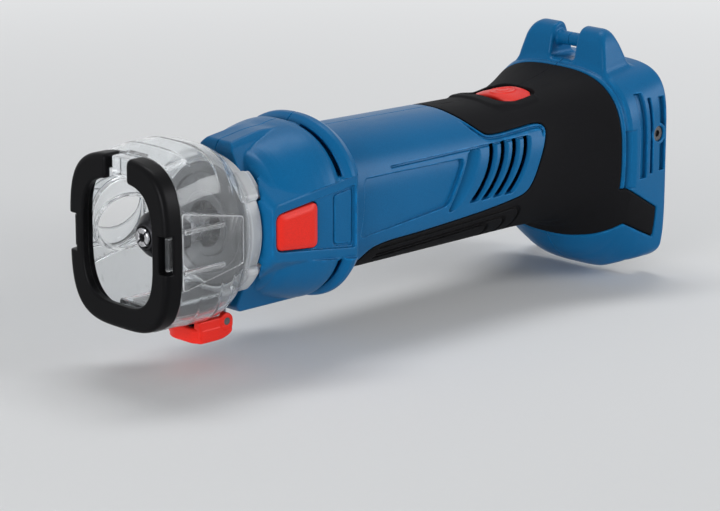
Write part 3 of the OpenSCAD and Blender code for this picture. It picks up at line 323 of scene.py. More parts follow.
def net_of(values, low, step):
    """Vertices and four-sided faces of the zero surface of a grid."""
    inside = values < 0
    shape = tuple(n - 1 for n in values.shape)
    count = np.zeros(shape, np.uint8)
    for i, j, k in CORNERS:
        count += inside[i:i + shape[0], j:j + shape[1], k:k + shape[2]]
    cells = np.argwhere((count > 0) & (count < 8))
    number = np.full(shape, -1, np.int32)
    number[tuple(cells.T)] = np.arange(len(cells))
    corner_values = np.stack([values[tuple((cells + c).T)] for c in CORNERS], 1)
    total = np.zeros((len(cells), 3))
    hits = np.zeros(len(cells))
    for a, b in EDGES:
        va, vb = corner_values[:, a], corner_values[:, b]
        cross = (va < 0) != (vb < 0)
        t = np.where(cross, va / np.where(cross, va - vb, 1), 0)[:, None]
        start, end = np.array(CORNERS[a]), np.array(CORNERS[b])
        total += np.where(cross[:, None], start + t * (end - start), 0)
        hits += cross
    vertices = low + (cells + total / hits[:, None]) * step
    faces = []
    for axis in range(3):
        side, over = (axis + 1) % 3, (axis + 2) % 3
        first = np.take(inside, np.arange(values.shape[axis] - 1), axis)
        second = np.take(inside, np.arange(1, values.shape[axis]), axis)
        for mask, flip in ((first & ~second, False), (~first & second, True)):
            at = np.argwhere(mask)
            at = at[(at[:, side] > 0) & (at[:, over] > 0)
                    & (at[:, side] < values.shape[side] - 1) & (at[:, over] < values.shape[over] - 1)]
            ring = []
            for s, o in ((1, 1), (0, 1), (0, 0), (1, 0)):
                cell = at.copy()
                cell[:, side] -= s
                cell[:, over] -= o
                ring.append(number[tuple(cell.T)])
            quads = np.stack(ring, 1)
            faces.append(quads[:, ::-1] if flip else quads)
    return vertices, np.vstack(faces)


def mesh_of(name, vertices, faces):
    """A mesh of equal-sided faces, straight from arrays."""
    mesh = bpy.data.meshes.new(name)
    sides = faces.shape[1]
    mesh.vertices.add(len(vertices))
    mesh.vertices.foreach_set("co", np.asarray(vertices, FLOAT).ravel())
    mesh.loops.add(faces.size)
    mesh.loops.foreach_set("vertex_index", faces.astype(np.int32).ravel())
    mesh.polygons.add(len(faces))
    mesh.polygons.foreach_set("loop_start", np.arange(0, faces.size, sides, dtype=np.int32))
    mesh.update(calc_edges=True)
    mesh.validate()
    return mesh


def link(name, mesh):
    """A new object in the scene."""
    obj = bpy.data.objects.new(name, mesh)
    bpy.context.scene.collection.objects.link(obj)
    return obj


def thinned(obj, keep):
    """The object's mesh with fewer faces where it is flat."""
    modifier = obj.modifiers.new("Thin", "DECIMATE")
    modifier.ratio = keep
    mesh = bpy.data.meshes.new_from_object(obj.evaluated_get(bpy.context.evaluated_depsgraph_get()))
    obj.modifiers.remove(modifier)
    return mesh


# Spacing of the probes that settle a vertex on the surface and read how sharp the surface is there
SETTLE_PROBE = 0.06
SETTLE_ROUNDS = 2
SETTLE_PARTS = 3
SLOPE_GUARD = 1e-6
EDGE_PROBE = 0.7
EDGE_ATTRIBUTE = "edge"
TETRA = np.array([(1, 1, 1), (1, -1, -1), (-1, 1, -1), (-1, -1, 1)], float)


def settle(obj, field, step):
    """Moves the vertices onto the field's surface, takes the normals from it and notes its edges."""
    mesh = obj.data
    points = np.empty(len(mesh.vertices) * 3, FLOAT)
    mesh.vertices.foreach_get("co", points)
    points = points.reshape(-1, 3).astype(float) / MM
    for _ in range(SETTLE_ROUNDS):
        probes = [sample(field, points + SETTLE_PROBE * t) for t in TETRA]
        slope = sum(v[:, None] * t for v, t in zip(probes, TETRA)) / (4 * SETTLE_PROBE)
        size = np.linalg.norm(slope, axis=1, keepdims=True) + SLOPE_GUARD
        away = np.mean(probes, 0)[:, None] / size
        points -= np.clip(away, -step / SETTLE_PARTS, step / SETTLE_PARTS) * slope / size
    here = sample(field, points)
    around = [sample(field, points + EDGE_PROBE * t / math.sqrt(3)) for t in TETRA]
    edge = (np.mean(around, 0) - here) / EDGE_PROBE
    mesh.vertices.foreach_set("co", (points * MM).astype(FLOAT).ravel())
    mesh.attributes.new(EDGE_ATTRIBUTE, "FLOAT", "POINT").data.foreach_set("value", edge.astype(FLOAT))
    mesh.update()
    mesh.shade_smooth()
    mesh.normals_split_custom_set_from_vertices((slope / size).tolist())


CAST_MARGIN = 1.5


def cast(name, field, low, high, step, keep=1.0):
    """A piece whose surface is the zero of a field, in the box from low to high."""
    step = step * 1.0
    low = np.asarray(low, float) - CAST_MARGIN * step
    high = np.asarray(high, float) + CAST_MARGIN * step
    vertices, faces = net_of(grid_of(field, low, high, step), low, step)
    obj = link(name, mesh_of(name, vertices * MM, faces))
    if keep < 1:
        obj.data = thinned(obj, keep)
    settle(obj, field, step)
    return obj


def seat(obj, body, slot, finish, *nodes):
    """Dresses a piece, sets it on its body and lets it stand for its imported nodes."""
    obj.data.materials.clear()
    obj.data.materials.append(finish)
    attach(obj, body)
    if nodes:
        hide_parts(*nodes)
    return obj


# Finishes


class Wire:
    """A socket of a finish that takes part in Python sums."""

    def __init__(self, finish, socket):
        self.finish = finish
        self.socket = socket

    def sum(self, operation, first, second):
        return self.finish.add("ShaderNodeMath", {"operation": operation}, {0: first, 1: second})

    def __add__(self, other):
        return self.sum("ADD", self, other)

    def __radd__(self, other):
        return self.sum("ADD", other, self)

    def __sub__(self, other):
        return self.sum("SUBTRACT", self, other)

    def __rsub__(self, other):
        return self.sum("SUBTRACT", other, self)

    def __mul__(self, other):
        return self.sum("MULTIPLY", self, other)

    def __rmul__(self, other):
        return self.sum("MULTIPLY", other, self)


class Finish:
    """A material being wired."""

    def __init__(self, name):
        self.material = bpy.data.materials.new(name)
        self.material.use_nodes = True
        self.tree = self.material.node_tree
        self.tree.nodes.clear()

    def add(self, kind, settings=None, sockets=None, out=0):
        """Adds a node, sets it up, feeds its sockets and gives one of its outputs."""
        node = self.tree.nodes.new(kind)
        for key, value in (settings or {}).items():
            setattr(node, key, value)
        for key, value in (sockets or {}).items():
            if isinstance(value, Wire):
                self.tree.links.new(value.socket, node.inputs[key])
            else:
                node.inputs[key].default_value = value
        return Wire(self, node.outputs[out]) if node.outputs else None

    def place(self):
        """Where the surface is, in the tool's own frame."""
        return self.add("ShaderNodeTexCoord", out="Object")

    def noise(self, scale, detail=2.0, rough=0.5, vector=None):
        """Smooth noise with so many waves to the metre, about 0.5."""
        sockets = {"Vector": vector or self.place(), "Scale": scale, "Detail": detail, "Roughness": rough}
        return self.add("ShaderNodeTexNoise", None, sockets)

    def span(self, value, low, high, to_low=0.0, to_high=1.0):
        """A value carried from one range to another, and held inside it."""
        return self.add("ShaderNodeMapRange", {"clamp": True},
                        {0: value, 1: low, 2: high, 3: to_low, 4: to_high})

    def blend(self, factor, first, second):
        """Two colours mixed by a factor."""
        return self.add("ShaderNodeMix", {"data_type": "RGBA"}, {0: factor, 6: first, 7: second}, 2)

    def stretched(self, scale):
        """The place, stretched along the axes."""
        return self.add("ShaderNodeVectorMath", {"operation": "MULTIPLY"}, {0: self.place(), 1: scale})

    def edge(self):
        """How sharp the surface is: above zero on edges, below zero in hollows."""
        return self.add("ShaderNodeAttribute", {"attribute_name": EDGE_ATTRIBUTE}, None, "Fac")

    def bump(self, height, distance, strength=1.0):
        """A fine relief."""
        sockets = {"Height": height, "Distance": distance, "Strength": strength}
        return self.add("ShaderNodeBump", None, sockets)

    def surface(self, **sockets):
        """A surface, from the shader's sockets."""
        names = {key.replace("_", " ").title().replace("Ior", "IOR"): value for key, value in sockets.items()}
        return self.add("ShaderNodeBsdfPrincipled", None, names)

    def close(self, surface):
        """Ends the wiring at a surface and gives the material."""
        self.add("ShaderNodeOutputMaterial", None, {"Surface": surface})
        return self.material

    def shade(self, **sockets):
        """The material of one surface."""
        return self.close(self.surface(**sockets))


FROST = (0.86, 0.88, 0.90)
# White that stays in the sheen of a coloured plastic
SHEEN_WHITE = 0.4


def linear(colour, scale=1.0):
    """A colour as four numbers, made lighter or darker."""
    return tuple(min(1.0, c * scale) for c in colour[:3]) + (1.0,)


# Moulded finishes: waves to the metre, and the spans that are read from noise and edges
MIDDLE = (0.3, 0.7)
CLOUD_SCALE = 28.0
SMEAR_SCALE = 95.0
SMEAR_STRETCH = (0.35, 1.0, 1.0)
SMEAR_WEAR = 0.12
CHIP_SCALE = 240.0
CHIP_SPAN = (0.42, 0.62)
# Span of the edges that are lightened, part wear and part painted highlight
WEAR_AND_HIGHLIGHT_SPAN = (0.05, 0.24)
HOLLOW_SPAN = (0.05, 0.22)
DUST_SPAN = (0.35, 0.6)
DULL_SPAN = (0.55, 0.75)
# Tones as shares of the colour
GRAIN_TONES = (0.86, 1.13)
CLOUD_TONE = 1.18
CLOUD_MIX = 0.35
# Lighter tone on edges: part wear, part painted highlight
WEAR_AND_HIGHLIGHT_TONE = 1.9
DUST_TONE = (0.22, 0.20, 0.18, 1.0)
# What noise and wear add to the roughness, and how strong the grain's relief is
CLOUD_ROUGH = 0.16
GRAIN_ROUGH = 0.10
WORN_POLISH = 0.10
SMEAR_ROUGH = 0.08
GRAIN_RELIEF = 0.7
CLOUD_RELIEF = 0.2


def moulded(name, colour, rough, gloss, grain, relief, wear_and_highlight, dust):
    """Moulded plastic or rubber: eroded grain, cloudy sheen, polished edges lightened by wear and a painted
    highlight, and a little dust in hollows.
    """
    f = Finish(name)
    fine = f.noise(grain, 2.5, 0.6)
    cloud = f.noise(CLOUD_SCALE, 3.0)
    smear = f.noise(SMEAR_SCALE, 4.0, 0.6, f.stretched(SMEAR_STRETCH))
    sharp = f.span(f.edge() + (smear - 0.5) * SMEAR_WEAR, *WEAR_AND_HIGHLIGHT_SPAN)
    worn_and_highlight = sharp * f.span(f.noise(CHIP_SCALE, 3.0), *CHIP_SPAN)
    hollow = f.span(f.edge() * -1.0, *HOLLOW_SPAN) * f.span(cloud, *DUST_SPAN)
    dark, light = (linear(colour, share) for share in GRAIN_TONES)
    tone = f.blend(f.span(fine, *MIDDLE), dark, light)
    tone = f.blend(f.span(cloud, *MIDDLE) * CLOUD_MIX, tone, linear(colour, CLOUD_TONE))
    # Edges lightened in part by wear and in part by a painted highlight
    tone = f.blend(worn_and_highlight * wear_and_highlight, tone, linear(colour, WEAR_AND_HIGHLIGHT_TONE))
    tone = f.blend(hollow * dust, tone, DUST_TONE)
    roughness = rough + (cloud - 0.5) * CLOUD_ROUGH + (fine - 0.5) * GRAIN_ROUGH - worn_and_highlight * WORN_POLISH
    roughness = roughness + f.span(smear, *DULL_SPAN) * SMEAR_ROUGH
    sheen = [mix(SHEEN_WHITE, 1.0, c / max(colour)) for c in colour]
    grained = f.bump(fine + cloud * CLOUD_RELIEF, relief, GRAIN_RELIEF)
    return f.shade(base_color=tone, roughness=roughness, specular_ior_level=gloss,
                   specular_tint=linear(sheen), normal=grained)


# Metals: waves to the metre, spans, tones as shares of the colour and what they add to the roughness
MARK_SCALE = 900.0
STAIN_SCALE = 120.0
STAIN_SPAN = (0.5, 0.75)
BRIGHT_SPAN = (0.06, 0.3)
MARK_TONES = (0.82, 1.12)
STAIN_TONE = 0.6
STAIN_MIX = 0.35
BRIGHT_TONE = 1.5
BRIGHT_MIX = 0.5
MARK_ROUGH = 0.2
STAIN_ROUGH = 0.14
STAIN_ROUGH_SPAN = (0.45, 0.7)
MARK_RELIEF = 0.6


def metal(name, colour, rough, lay, relief):
    """Machined metal: fine tool marks along one direction, stains and brighter edges."""
    f = Finish(name)
    marks = f.noise(MARK_SCALE, 3.0, 0.6, f.stretched(lay))
    stain = f.noise(STAIN_SCALE, 4.0, 0.6)
    dark, light = (linear(colour, share) for share in MARK_TONES)
    tone = f.blend(f.span(marks, *MIDDLE), dark, light)
    tone = f.blend(f.span(stain, *STAIN_SPAN) * STAIN_MIX, tone, linear(colour, STAIN_TONE))
    tone = f.blend(f.span(f.edge(), *BRIGHT_SPAN) * BRIGHT_MIX, tone, linear(colour, BRIGHT_TONE))
    roughness = rough + (marks - 0.5) * MARK_ROUGH + f.span(stain, *STAIN_ROUGH_SPAN) * STAIN_ROUGH
    return f.shade(base_color=tone, metallic=1.0, roughness=roughness,
                   normal=f.bump(marks, relief, MARK_RELIEF))


# Clear hood: scuffs, flow waves, frosted collar, and white frost at the edges as a painted highlight
SCUFF_SCALE = 420.0
SCUFF_STRETCH = (1.0, 1.0, 0.3)
SCUFF_SPAN = (0.58, 0.78)
WAVE_SCALE = 60.0
WAVE_RELIEF = 0.00003
EDGE_HIGHLIGHT_SPAN = (0.05, 0.26)
COLLAR_FADE = (3.5, 0.5)
CLEAR_INDEX = 1.45
CLEAR_GLOSS = 0.4
SCUFF_ROUGH = 0.10
EDGE_ROUGH = 0.06
FROST_ROUGH = 0.42
# Share of frost at the edges as a painted highlight, at the collar, on scuffs and everywhere
FROST_SHARES = (0.5, 0.35, 0.12, 0.05)


def clear(name, colour, rough):
    """Clear polycarbonate with faint flow waves, dusty scuffs and white frost on the edges as a painted
    highlight.
    """
    f = Finish(name)
    scuff = f.span(f.noise(SCUFF_SCALE, 5.0, 0.65, f.stretched(SCUFF_STRETCH)), *SCUFF_SPAN)
    waves = f.noise(WAVE_SCALE, 1.0)
    # White frost on the edges paints a highlight line
    edge = f.span(f.edge(), *EDGE_HIGHLIGHT_SPAN)
    along = f.add("ShaderNodeSeparateXYZ", None, {0: f.place()}, "X")
    collar = f.span(along, *((X_COLLAR + ahead) * MM for ahead in COLLAR_FADE))
    relief = f.bump(waves, WAVE_RELIEF, 0.5)
    glass = f.surface(base_color=linear(colour), roughness=rough + scuff * SCUFF_ROUGH + edge * EDGE_ROUGH,
                      transmission_weight=1.0, ior=CLEAR_INDEX, specular_tint=linear(FROST, CLEAR_GLOSS),
                      normal=relief)
    frost = f.surface(base_color=linear(FROST), roughness=FROST_ROUGH + scuff * 0.2, normal=relief)
    at_edge_highlight, at_collar, at_scuff, always = FROST_SHARES
    share = edge * at_edge_highlight + collar * at_collar + scuff * at_scuff + always
    return f.close(f.add("ShaderNodeMixShader", None, {0: share, 1: glass, 2: frost}))


# Circuit board: runs to the metre, width of the gaps, tones as shares of the colour
RUN_SCALE = 260.0
RUN_GAP = 0.03
RUN_TONES = (1.0, 0.8, 1.8)
MASK_SCALE = 500.0
MASK_ROUGH = (0.35, 0.55)


def board(name, colour):
    """Circuit board: solder mask over copper runs."""
    f = Finish(name)
    first, second, gap = (linear(colour, share) for share in RUN_TONES)
    runs = f.add("ShaderNodeTexBrick", {"offset": 0.5},
                 {"Vector": f.place(), "Scale": RUN_SCALE, "Mortar Size": RUN_GAP, "Color1": first,
                  "Color2": second, "Mortar": gap})
    rough = f.span(f.noise(MASK_SCALE), *MIDDLE, *MASK_ROUGH)
    return f.shade(base_color=runs, roughness=rough)


# Handle


def handle_sections(x):
    """Half width, rise, drop and squareness above and below of the handle by station."""
    flare = share_of(x, X_FLARE, X_RIM)
    rim = share_of(x, X_RIM, X_CREST)
    foot = share_of(x, X_CREST, X_REAR)
    half = np.where(x > X_RIM, mix(BARREL_HALF, RIM_HALF - RIM_STEP, trumpet(flare)),
                    mix(mix(RIM_HALF - RIM_STEP, RIM_HALF, rim), FOOT_HALF, foot))
    barrel = BARREL_RISE - BARREL_DIP * share_of(x, X_BARREL, X_FLARE)
    rise = np.where(x > X_RIM, mix(barrel, FOOT_TOP - RIM_STEP, trumpet(flare)),
                    mix(FOOT_TOP - RIM_STEP, FOOT_TOP, rim))
    fall = np.interp(share_of(x, X_FLARE, X_REAR), *np.array(BELLY_SHARES, float).T)
    drop = softened(mix(BARREL_RISE, FOOT_DROP, fall), Skin.STEP, BELLY_EASE)
    above, below = (np.where(x > X_RIM, mix(BARREL_SHARE, at_rim, flare), mix(at_rim, at_rear, foot))
                    for at_rim, at_rear in ((RIM_SHARE, FOOT_SHARE), (BELLY_RIM_SHARE, BELLY_FOOT_SHARE)))
    return half, rise, drop, 2 / above, 2 / below


HANDLE_MARGIN = 10
HANDLE = Skin(X_REAR - HANDLE_MARGIN, X_NOSE, handle_sections)

# Rubber outline on the side: shares of the handle length and of the barrel's rise
GRIP_FRONT_SHARES = [(0.475, 1.2), (0.476, 1.0), (0.48, 0.92), (0.495, 0.836), (0.525, 0.685),
                     (0.552, 0.602), (0.60, 0.584), (0.68, 0.596), (0.755, 0.605), (0.776, 0.545),
                     (0.77, 0.40), (0.745, 0.14), (0.716, -0.15), (0.685, -0.315), (0.63, -0.38),
                     (0.5, -0.455), (0.298, -0.524), (0.13, -0.57), (0.075, -0.74), (0.05, -1.2)]
GRIP_REAR_SHARES = [(0.965, -1.6), (0.971, -1.30), (0.98, -1.24), (1.003, -1.138), (1.038, -1.012),
                    (1.10, -1.17), (1.15, -1.29), (1.15, -0.84), (1.02, -0.46)]


def handle_point(share):
    """A point on the handle's side from its shares."""
    return X_BARREL - share[0] * HANDLE_LEN, share[1] * BARREL_RISE


GRIP_STEPS = 6
GRIP_OVERRUN = 6


def grip_outline():
    """Outline of the rubber, seen from the side."""
    front = spline([handle_point(s) for s in GRIP_FRONT_SHARES], GRIP_STEPS)
    rear = [handle_point(s) for s in GRIP_REAR_SHARES]
    return [*front, *rear, (X_RIM, rear[-1][1]), (X_RIM, FOOT_TOP + GRIP_OVERRUN)]


GRIP = SideMap(grip_outline())
SEAM = 0.14
PARTING = 0.04
PARTING_EDGE = 0.5

# Side panel, louvres and long groove of the barrel
PANEL_SHARES = [(0.055, 0.40), (0.44, 0.375), (0.371, -0.23), (0.04, -0.40)]
PANEL = [handle_point(s) for s in PANEL_SHARES]
PANEL_DEPTHS = (0.5, 1.8)
BAND_SHIFT = -5.6
BAND_DEPTH = 3.3
GROOVE_Z = 14.3
GROOVE_ENDS = (X_BARREL - 105.5, X_BARREL - 24.0)
VENTS = 4
VENT_PITCH = 7.0
VENT_BOW = 42.8
VENT_SLIT = 2.0
VENT_RAMP = 4.3
VENT_DEPTH = 2.8
VENT_SLANT = 0.9
VENT_X = X_BARREL - 40.4
VENT_Z = 24.9
VENT_LOW = -8.0


def bow(x, z, shift):
    """Distance from a vent's bowed front edge, positive towards the rear."""
    return np.hypot(x - (VENT_X - shift), z - VENT_Z) - VENT_BOW


PANEL_CORNER = 2.5
CREST_SHIFT = 1.6
BAND_CORNER = 2.0
BAND_LEVELS = (VENT_LOW - 2, GROOVE_Z - 0.6)
BAND_LEAST = -0.1
GROOVE_HALF = 0.4
GROOVE_DEPTH = 0.8


def barrel_details(d, skin, x, z):
    """Panel, groove, band and louvres in the side of the barrel."""
    depth = mix(*PANEL_DEPTHS, share_of(x, PANEL[0][0], PANEL[1][0]))
    d = round_cut(d, np.maximum(convex(x, z, PANEL[::-1], PANEL_CORNER), -(skin + depth)), FINE)
    crest = plane(x, z, PANEL[1], PANEL[2]) + CREST_SHIFT
    rear = bow(x, z, BAND_SHIFT)
    band = round_both(round_both(crest, rear, WIDE), slab(z, *BAND_LEVELS), BAND_CORNER)
    slope = np.clip(rear / np.minimum(crest + rear, BAND_LEAST), 0, 1)
    d = round_cut(d, np.maximum(band, -(skin + BAND_DEPTH * slope)), NEAT)
    line = round_both(slab(x, *GROOVE_ENDS), np.abs(z - GROOVE_Z) - GROOVE_HALF, FINE)
    d = round_cut(d, np.maximum(line, -(skin + GROOVE_DEPTH)), CRISP)
    reach = np.maximum(slab(z, VENT_LOW, GROOVE_Z), x - VENT_X)
    for k in range(VENTS):
        t = bow(x, z, VENT_PITCH * k)
        floor = VENT_DEPTH * np.clip((VENT_RAMP - t) / (VENT_RAMP - VENT_SLIT), 0, 1)
        ramp = round_both(slab(t, 0, VENT_RAMP), reach, WIDE)
        d = round_cut(d, np.maximum(ramp, -(skin + floor)), FINE)
        d = round_cut(d, round_both(slab(t + VENT_SLANT * skin, 0, VENT_SLIT), reach, ROUND), FINE)
    return d


# Nose
NECK_R = 26.0
SHOULDER_R = 30.6
BELL_R = 36.5
BELL_REAR_R = 35.3
LIP_R = 37.7
LIP_GAP = 2.2
NOSE_POWER = 2.25
NOSE_BLEND = (4.0, 14.0)
NOSE_GUARD = 1e-3
PAD_Y = 32.6
PAD_RECESS = 1.2
PAD_FRONT = 11.0
PAD_REAR = 17.0
PAD_FLARE = 9.0
PAD_DEPTH = 12.0
BOSS_FOOT = 20.0
BOSS_RISE = 0.125
KEEL_ROOT = -15.0
X_PAD_REAR = X_BARREL + 1.0
FAN_ROOM = 28.5
SHAFT_ROOM = 12.0
SPIGOT_R = 20.5
SPIGOT_LEN = 8.0
BUTTON_LOW, BUTTON_HIGH = node_box("lock_button")
BUTTON_BEVEL = 2.3


def turned_rows(points):
    """A turned profile of station and radius, as rising rows."""
    rows = np.array(sorted(points), float)
    return rows[:, 0], rows[:, 1]


SHOULDER_BACK = 4
SHOULDER_LEN = 5
SHOULDER = [(X_NOSE - SHOULDER_BACK - SHOULDER_LEN * (1 - math.cos(q)), mix(NECK_R, SHOULDER_R, math.sin(q)))
            for q in np.linspace(0, math.pi / 2, 9)]
# Rows of the bell and the lip: setback from the nose or the lip, and radius
BELL_FORM = [(12, 31.9), (16, 33.1), (20, 34.2), (24, 35.2), (28, 36.0), (31, 36.4)]
BELL_ROWS = turned_rows([(X_NOSE + 9, NECK_R), *SHOULDER, *((X_NOSE - back, r) for back, r in BELL_FORM),
                         (X_BELL + 0.6, BELL_R), (X_SLOT, BELL_REAR_R)])
LIP_FORM = [(0, LIP_R - 2.1), (2.1, LIP_R - 0.2), (4.2, LIP_R)]
LIP_ROWS = turned_rows([(X_SLOT - LIP_GAP, BELL_REAR_R - 0.8), *((X_LIP - back, r) for back, r in LIP_FORM),
                        (X_BARREL, LIP_R - 2.4)])


def nose_reach(x, y, z):
    """Distance from the axis, measured in the nose's squarish sections."""
    power = mix(2.0, NOSE_POWER, share_of(x, *(X_NOSE - back for back in NOSE_BLEND)))
    return ((np.abs(y) + NOSE_GUARD) ** power + (np.abs(z) + NOSE_GUARD) ** power) ** (1 / power)


TURNED_STEP = 0.1
TURNED_MARGIN = 2


def turned(x, r, rows, r_edge):
    """Field of a turned form between the ends of its profile, with softened profile corners."""
    fine = np.arange(rows[0][0] - TURNED_MARGIN, rows[0][-1] + TURNED_MARGIN, TURNED_STEP)
    radius = softened(np.interp(fine, *rows), TURNED_STEP, r_edge)
    slope = np.gradient(radius, TURNED_STEP)
    return (r - np.interp(x, fine, radius)) / np.sqrt(1 + np.interp(x, fine, slope) ** 2)


def pad_half(x):
    """Half height of the side pad by station."""
    return mix(PAD_FRONT, PAD_REAR, share_of(x, X_NOSE, X_PAD_REAR))


PAD_LEAN = 1.2
PAD_CORNER = 3.5


def pad_form(x, y, z):
    """Raised side pad with sloped flanks."""
    inward = (PAD_Y - y) / PAD_DEPTH
    flank = (np.abs(z) - pad_half(x) - PAD_FLARE * inward) / math.hypot(1, PAD_FLARE / PAD_DEPTH)
    front = x - (X_NOSE - PAD_LEAN * (1 - inward))
    d = round_both(round_both(flank, front, PAD_CORNER), X_PAD_REAR - x, SOFT)
    return round_both(np.maximum(d, PAD_Y - PAD_DEPTH - y), y - PAD_Y, SOFT)


def behind_nose(points):
    """Stations and levels of points told by their setback from the nose and level."""
    return [(X_NOSE - back, level) for back, level in points]


# Boss: flank across the tool, then top and face behind the nose
BOSS_FLANK = [(7.0, 32.5), (9.0, 30.8), (13.0, 23.6)]
BOSS_TOP = [(24.0, 36.2), (0.4, 32.4)]
BOSS_FACE = [(2.6, 33.2), (0.4, 29.5)]
BOSS_SETBACK = 0.4
BOSS_LIMIT = 35.2


def boss_form(x, y, z):
    """Wedge boss on top of the nose."""
    a = np.abs(y)
    level = z - BOSS_RISE * (X_NOSE - x)
    crown, shoulder, foot = BOSS_FLANK
    d = round_both(plane(a, level, shoulder, foot), plane(a, level, crown, shoulder), CRISP)
    top = round_both(plane(x, z, *behind_nose(BOSS_TOP)), z - BOSS_LIMIT, EASED)
    front = round_both(x - (X_NOSE - BOSS_SETBACK), plane(x, z, *behind_nose(BOSS_FACE)), NEAT)
    d = round_both(round_both(np.maximum(d, BOSS_FOOT - z), top, NEAT), front, EASED)
    return round_both(d, X_SLOT - x, SOFT)


# Keel: flank across the tool, then chin behind the nose
KEEL_FLANK = [(20.0, -18.0), (10.5, -36.0)]
KEEL_CHIN = [(0.0, -33.0), (3.0, -36.0)]


def keel_form(x, y, z):
    """Keel under the nose that holds the rail."""
    flank = plane(np.abs(y), z, *KEEL_FLANK)
    front = round_both(x - X_NOSE, plane(x, z, *behind_nose(KEEL_CHIN)), ROUND)
    d = round_both(round_both(flank, KEEL_FLANK[1][1] - z, SOFT), front, SOFT)
    return round_both(np.maximum(d, z - KEEL_ROOT), X_SLOT - x, SOFT)


OUTLET_SLANT = 0.9
OUTLET_DEPTH = 2.5
OUTLET_BRIDGE = 7.5


def outlet(x, y, z, r):
    """Four curved air slots between bell and lip, slanted to the rear."""
    d = slab(x + OUTLET_SLANT * (BELL_REAR_R - r), X_SLOT - LIP_GAP, X_SLOT)
    d = np.maximum(d, FAN_ROOM - OUTLET_DEPTH - r)
    return np.maximum(d, np.maximum(OUTLET_BRIDGE - np.abs(y), PAD_REAR - np.abs(z)))


RECESS_MARGIN = 4.0
RECESS_REAR = 1.2
RECESS_CORNER = 4.5
# Bare label plate in the recess
PLATE_REAR = 2.2
PLATE_FRONT = 34.8
PLATE_MARGIN = 5.2
PLATE_LINE = 0.4
PLATE_DEPTH = 0.6


def pad_details(d, x, y, z):
    """Recess of the side pad, with the outline of a bare label plate."""
    half = pad_half(x)
    recess = round_both(np.abs(z) - half + RECESS_MARGIN, x - (X_NOSE - RECESS_MARGIN), RECESS_CORNER)
    recess = round_both(recess, X_PAD_REAR + RECESS_REAR - x, WIDE)
    d = round_cut(d, np.maximum(recess, PAD_Y - PAD_RECESS - y), EASED)
    plate = slab(x, X_PAD_REAR + PLATE_REAR, X_NOSE - PLATE_FRONT)
    plate = round_both(plate, np.abs(z) - half + PLATE_MARGIN, BROAD)
    line = np.abs(plate) - PLATE_LINE
    return round_cut(d, np.maximum(line, PAD_Y - PAD_RECESS - PLATE_DEPTH - y), CRISP)


# Core behind the bell, seat of the pad, notches for the hood's tabs and the rooms inside
CORE_SINK = 1.0
CORE_REACH = 2
BELL_OVERLAP = 1
PAD_SINK = 0.8
PAD_ROOM = 0.2
NOTCH_R = (25.75, 28.95)
NOTCH_TURN = (41.5, 14.5)
NOTCH_DEPTH = 3.55
FAN_ENDS = (X_BARREL + 2, X_BELL + 6.5)
SHAFT_REAR = X_BELL + 6
SPIGOT_GAP = 0.1
BUTTON_GAP = 0.4
BUTTON_ROOM = 4.5


def nose_field(x, y, z, side):
    """Bell, lip, pad, boss and keel in front of the barrel."""
    r = nose_reach(x, y, z)
    axis_r = np.hypot(y, z)
    bell = round_both(turned(x, r, BELL_ROWS, FINE), x - X_NOSE, FULL)
    bell = np.maximum(bell, X_SLOT - BELL_OVERLAP - x)
    lip = round_both(turned(x, r, LIP_ROWS, FINE), x - X_SLOT + LIP_GAP, NEAT)
    lip = round_both(lip, X_BARREL - x, SOFT)
    core = np.maximum(r - BELL_REAR_R + CORE_SINK, slab(x, X_LIP - CORE_REACH, X_SLOT + CORE_REACH))
    d = round_add(np.minimum(bell, core), lip, FINE)
    d = round_cut(d, np.maximum(PAD_Y - PAD_SINK - y, np.abs(z) - pad_half(x) - PAD_ROOM), FINE)
    d = round_add(d, pad_form(x, y, z), MILD)
    d = round_add(d, boss_form(x, y, z), FINE)
    d = round_add(d, keel_form(x, y, z), NEAT)
    d = round_cut(d, outlet(x, y, z, r), NEAT)
    d = pad_details(d, x, y, z)
    notch = np.maximum(slab(axis_r, *NOTCH_R), sector(y, z, *NOTCH_TURN))
    d = round_cut(d, np.maximum(notch, X_NOSE - NOTCH_DEPTH - x), EASED)
    d = np.maximum(d, -np.maximum(axis_r - FAN_ROOM, slab(x, *FAN_ENDS)))
    d = np.maximum(d, -np.maximum(axis_r - SPIGOT_R - SPIGOT_GAP, X_NOSE - SPIGOT_LEN - SPIGOT_GAP - x))
    d = np.maximum(d, -np.maximum(axis_r - SHAFT_ROOM, slab(x, SHAFT_REAR, X_NOSE - SPIGOT_LEN)))
    if side > 0:
        d = round_cut(d, button_form(x, y, z, BUTTON_GAP, BUTTON_LOW[1] - BUTTON_ROOM), NEAT)
    return d


BUTTON_HALVES = (7.1, 9.3)
BUTTON_CORNER = 3.2


def button_form(x, y, z, grow, floor):
    """Prism of the lock button's outline, standing on a floor."""
    half = mix(*BUTTON_HALVES, share_of(x, BUTTON_HIGH[0], BUTTON_LOW[0])) + grow
    d = round_both(np.abs(z) - half, x - BUTTON_HIGH[0] - grow, BUTTON_CORNER)
    d = round_both(d, BUTTON_LOW[0] - grow - x, BUTTON_CORNER)
    return np.maximum(d, floor - y)


# Foot
LUG = [(-2.0, 30.0), (-6.0, 49.0), (-9.0, 52.0), (-14.0, 52.0), (-17.0, 46.0), (-22.0, 30.0)]
LUG_FLANK = [(19.0, 52.0), (22.0, 49.0), (26.5, 32.5)]
LUG_INNER = 7.0
LUG_SIDE = 2.0
LUG_CROWN = 2.5
LUG_FILLET = 2.4
BAR_BACK = 11.0
BAR_Z = 45.2
BAR_R = 3.0
BAR_END = 9.0
SHOE_SCREW = (X_REAR + 6.0, 7.3)
SHOE_SCREW_BORE = 3.4
SHOE_SCREW_SEAT = 37.1
SHOE_GAP = 0.1
SHOE_SCREW_RING = 4.8
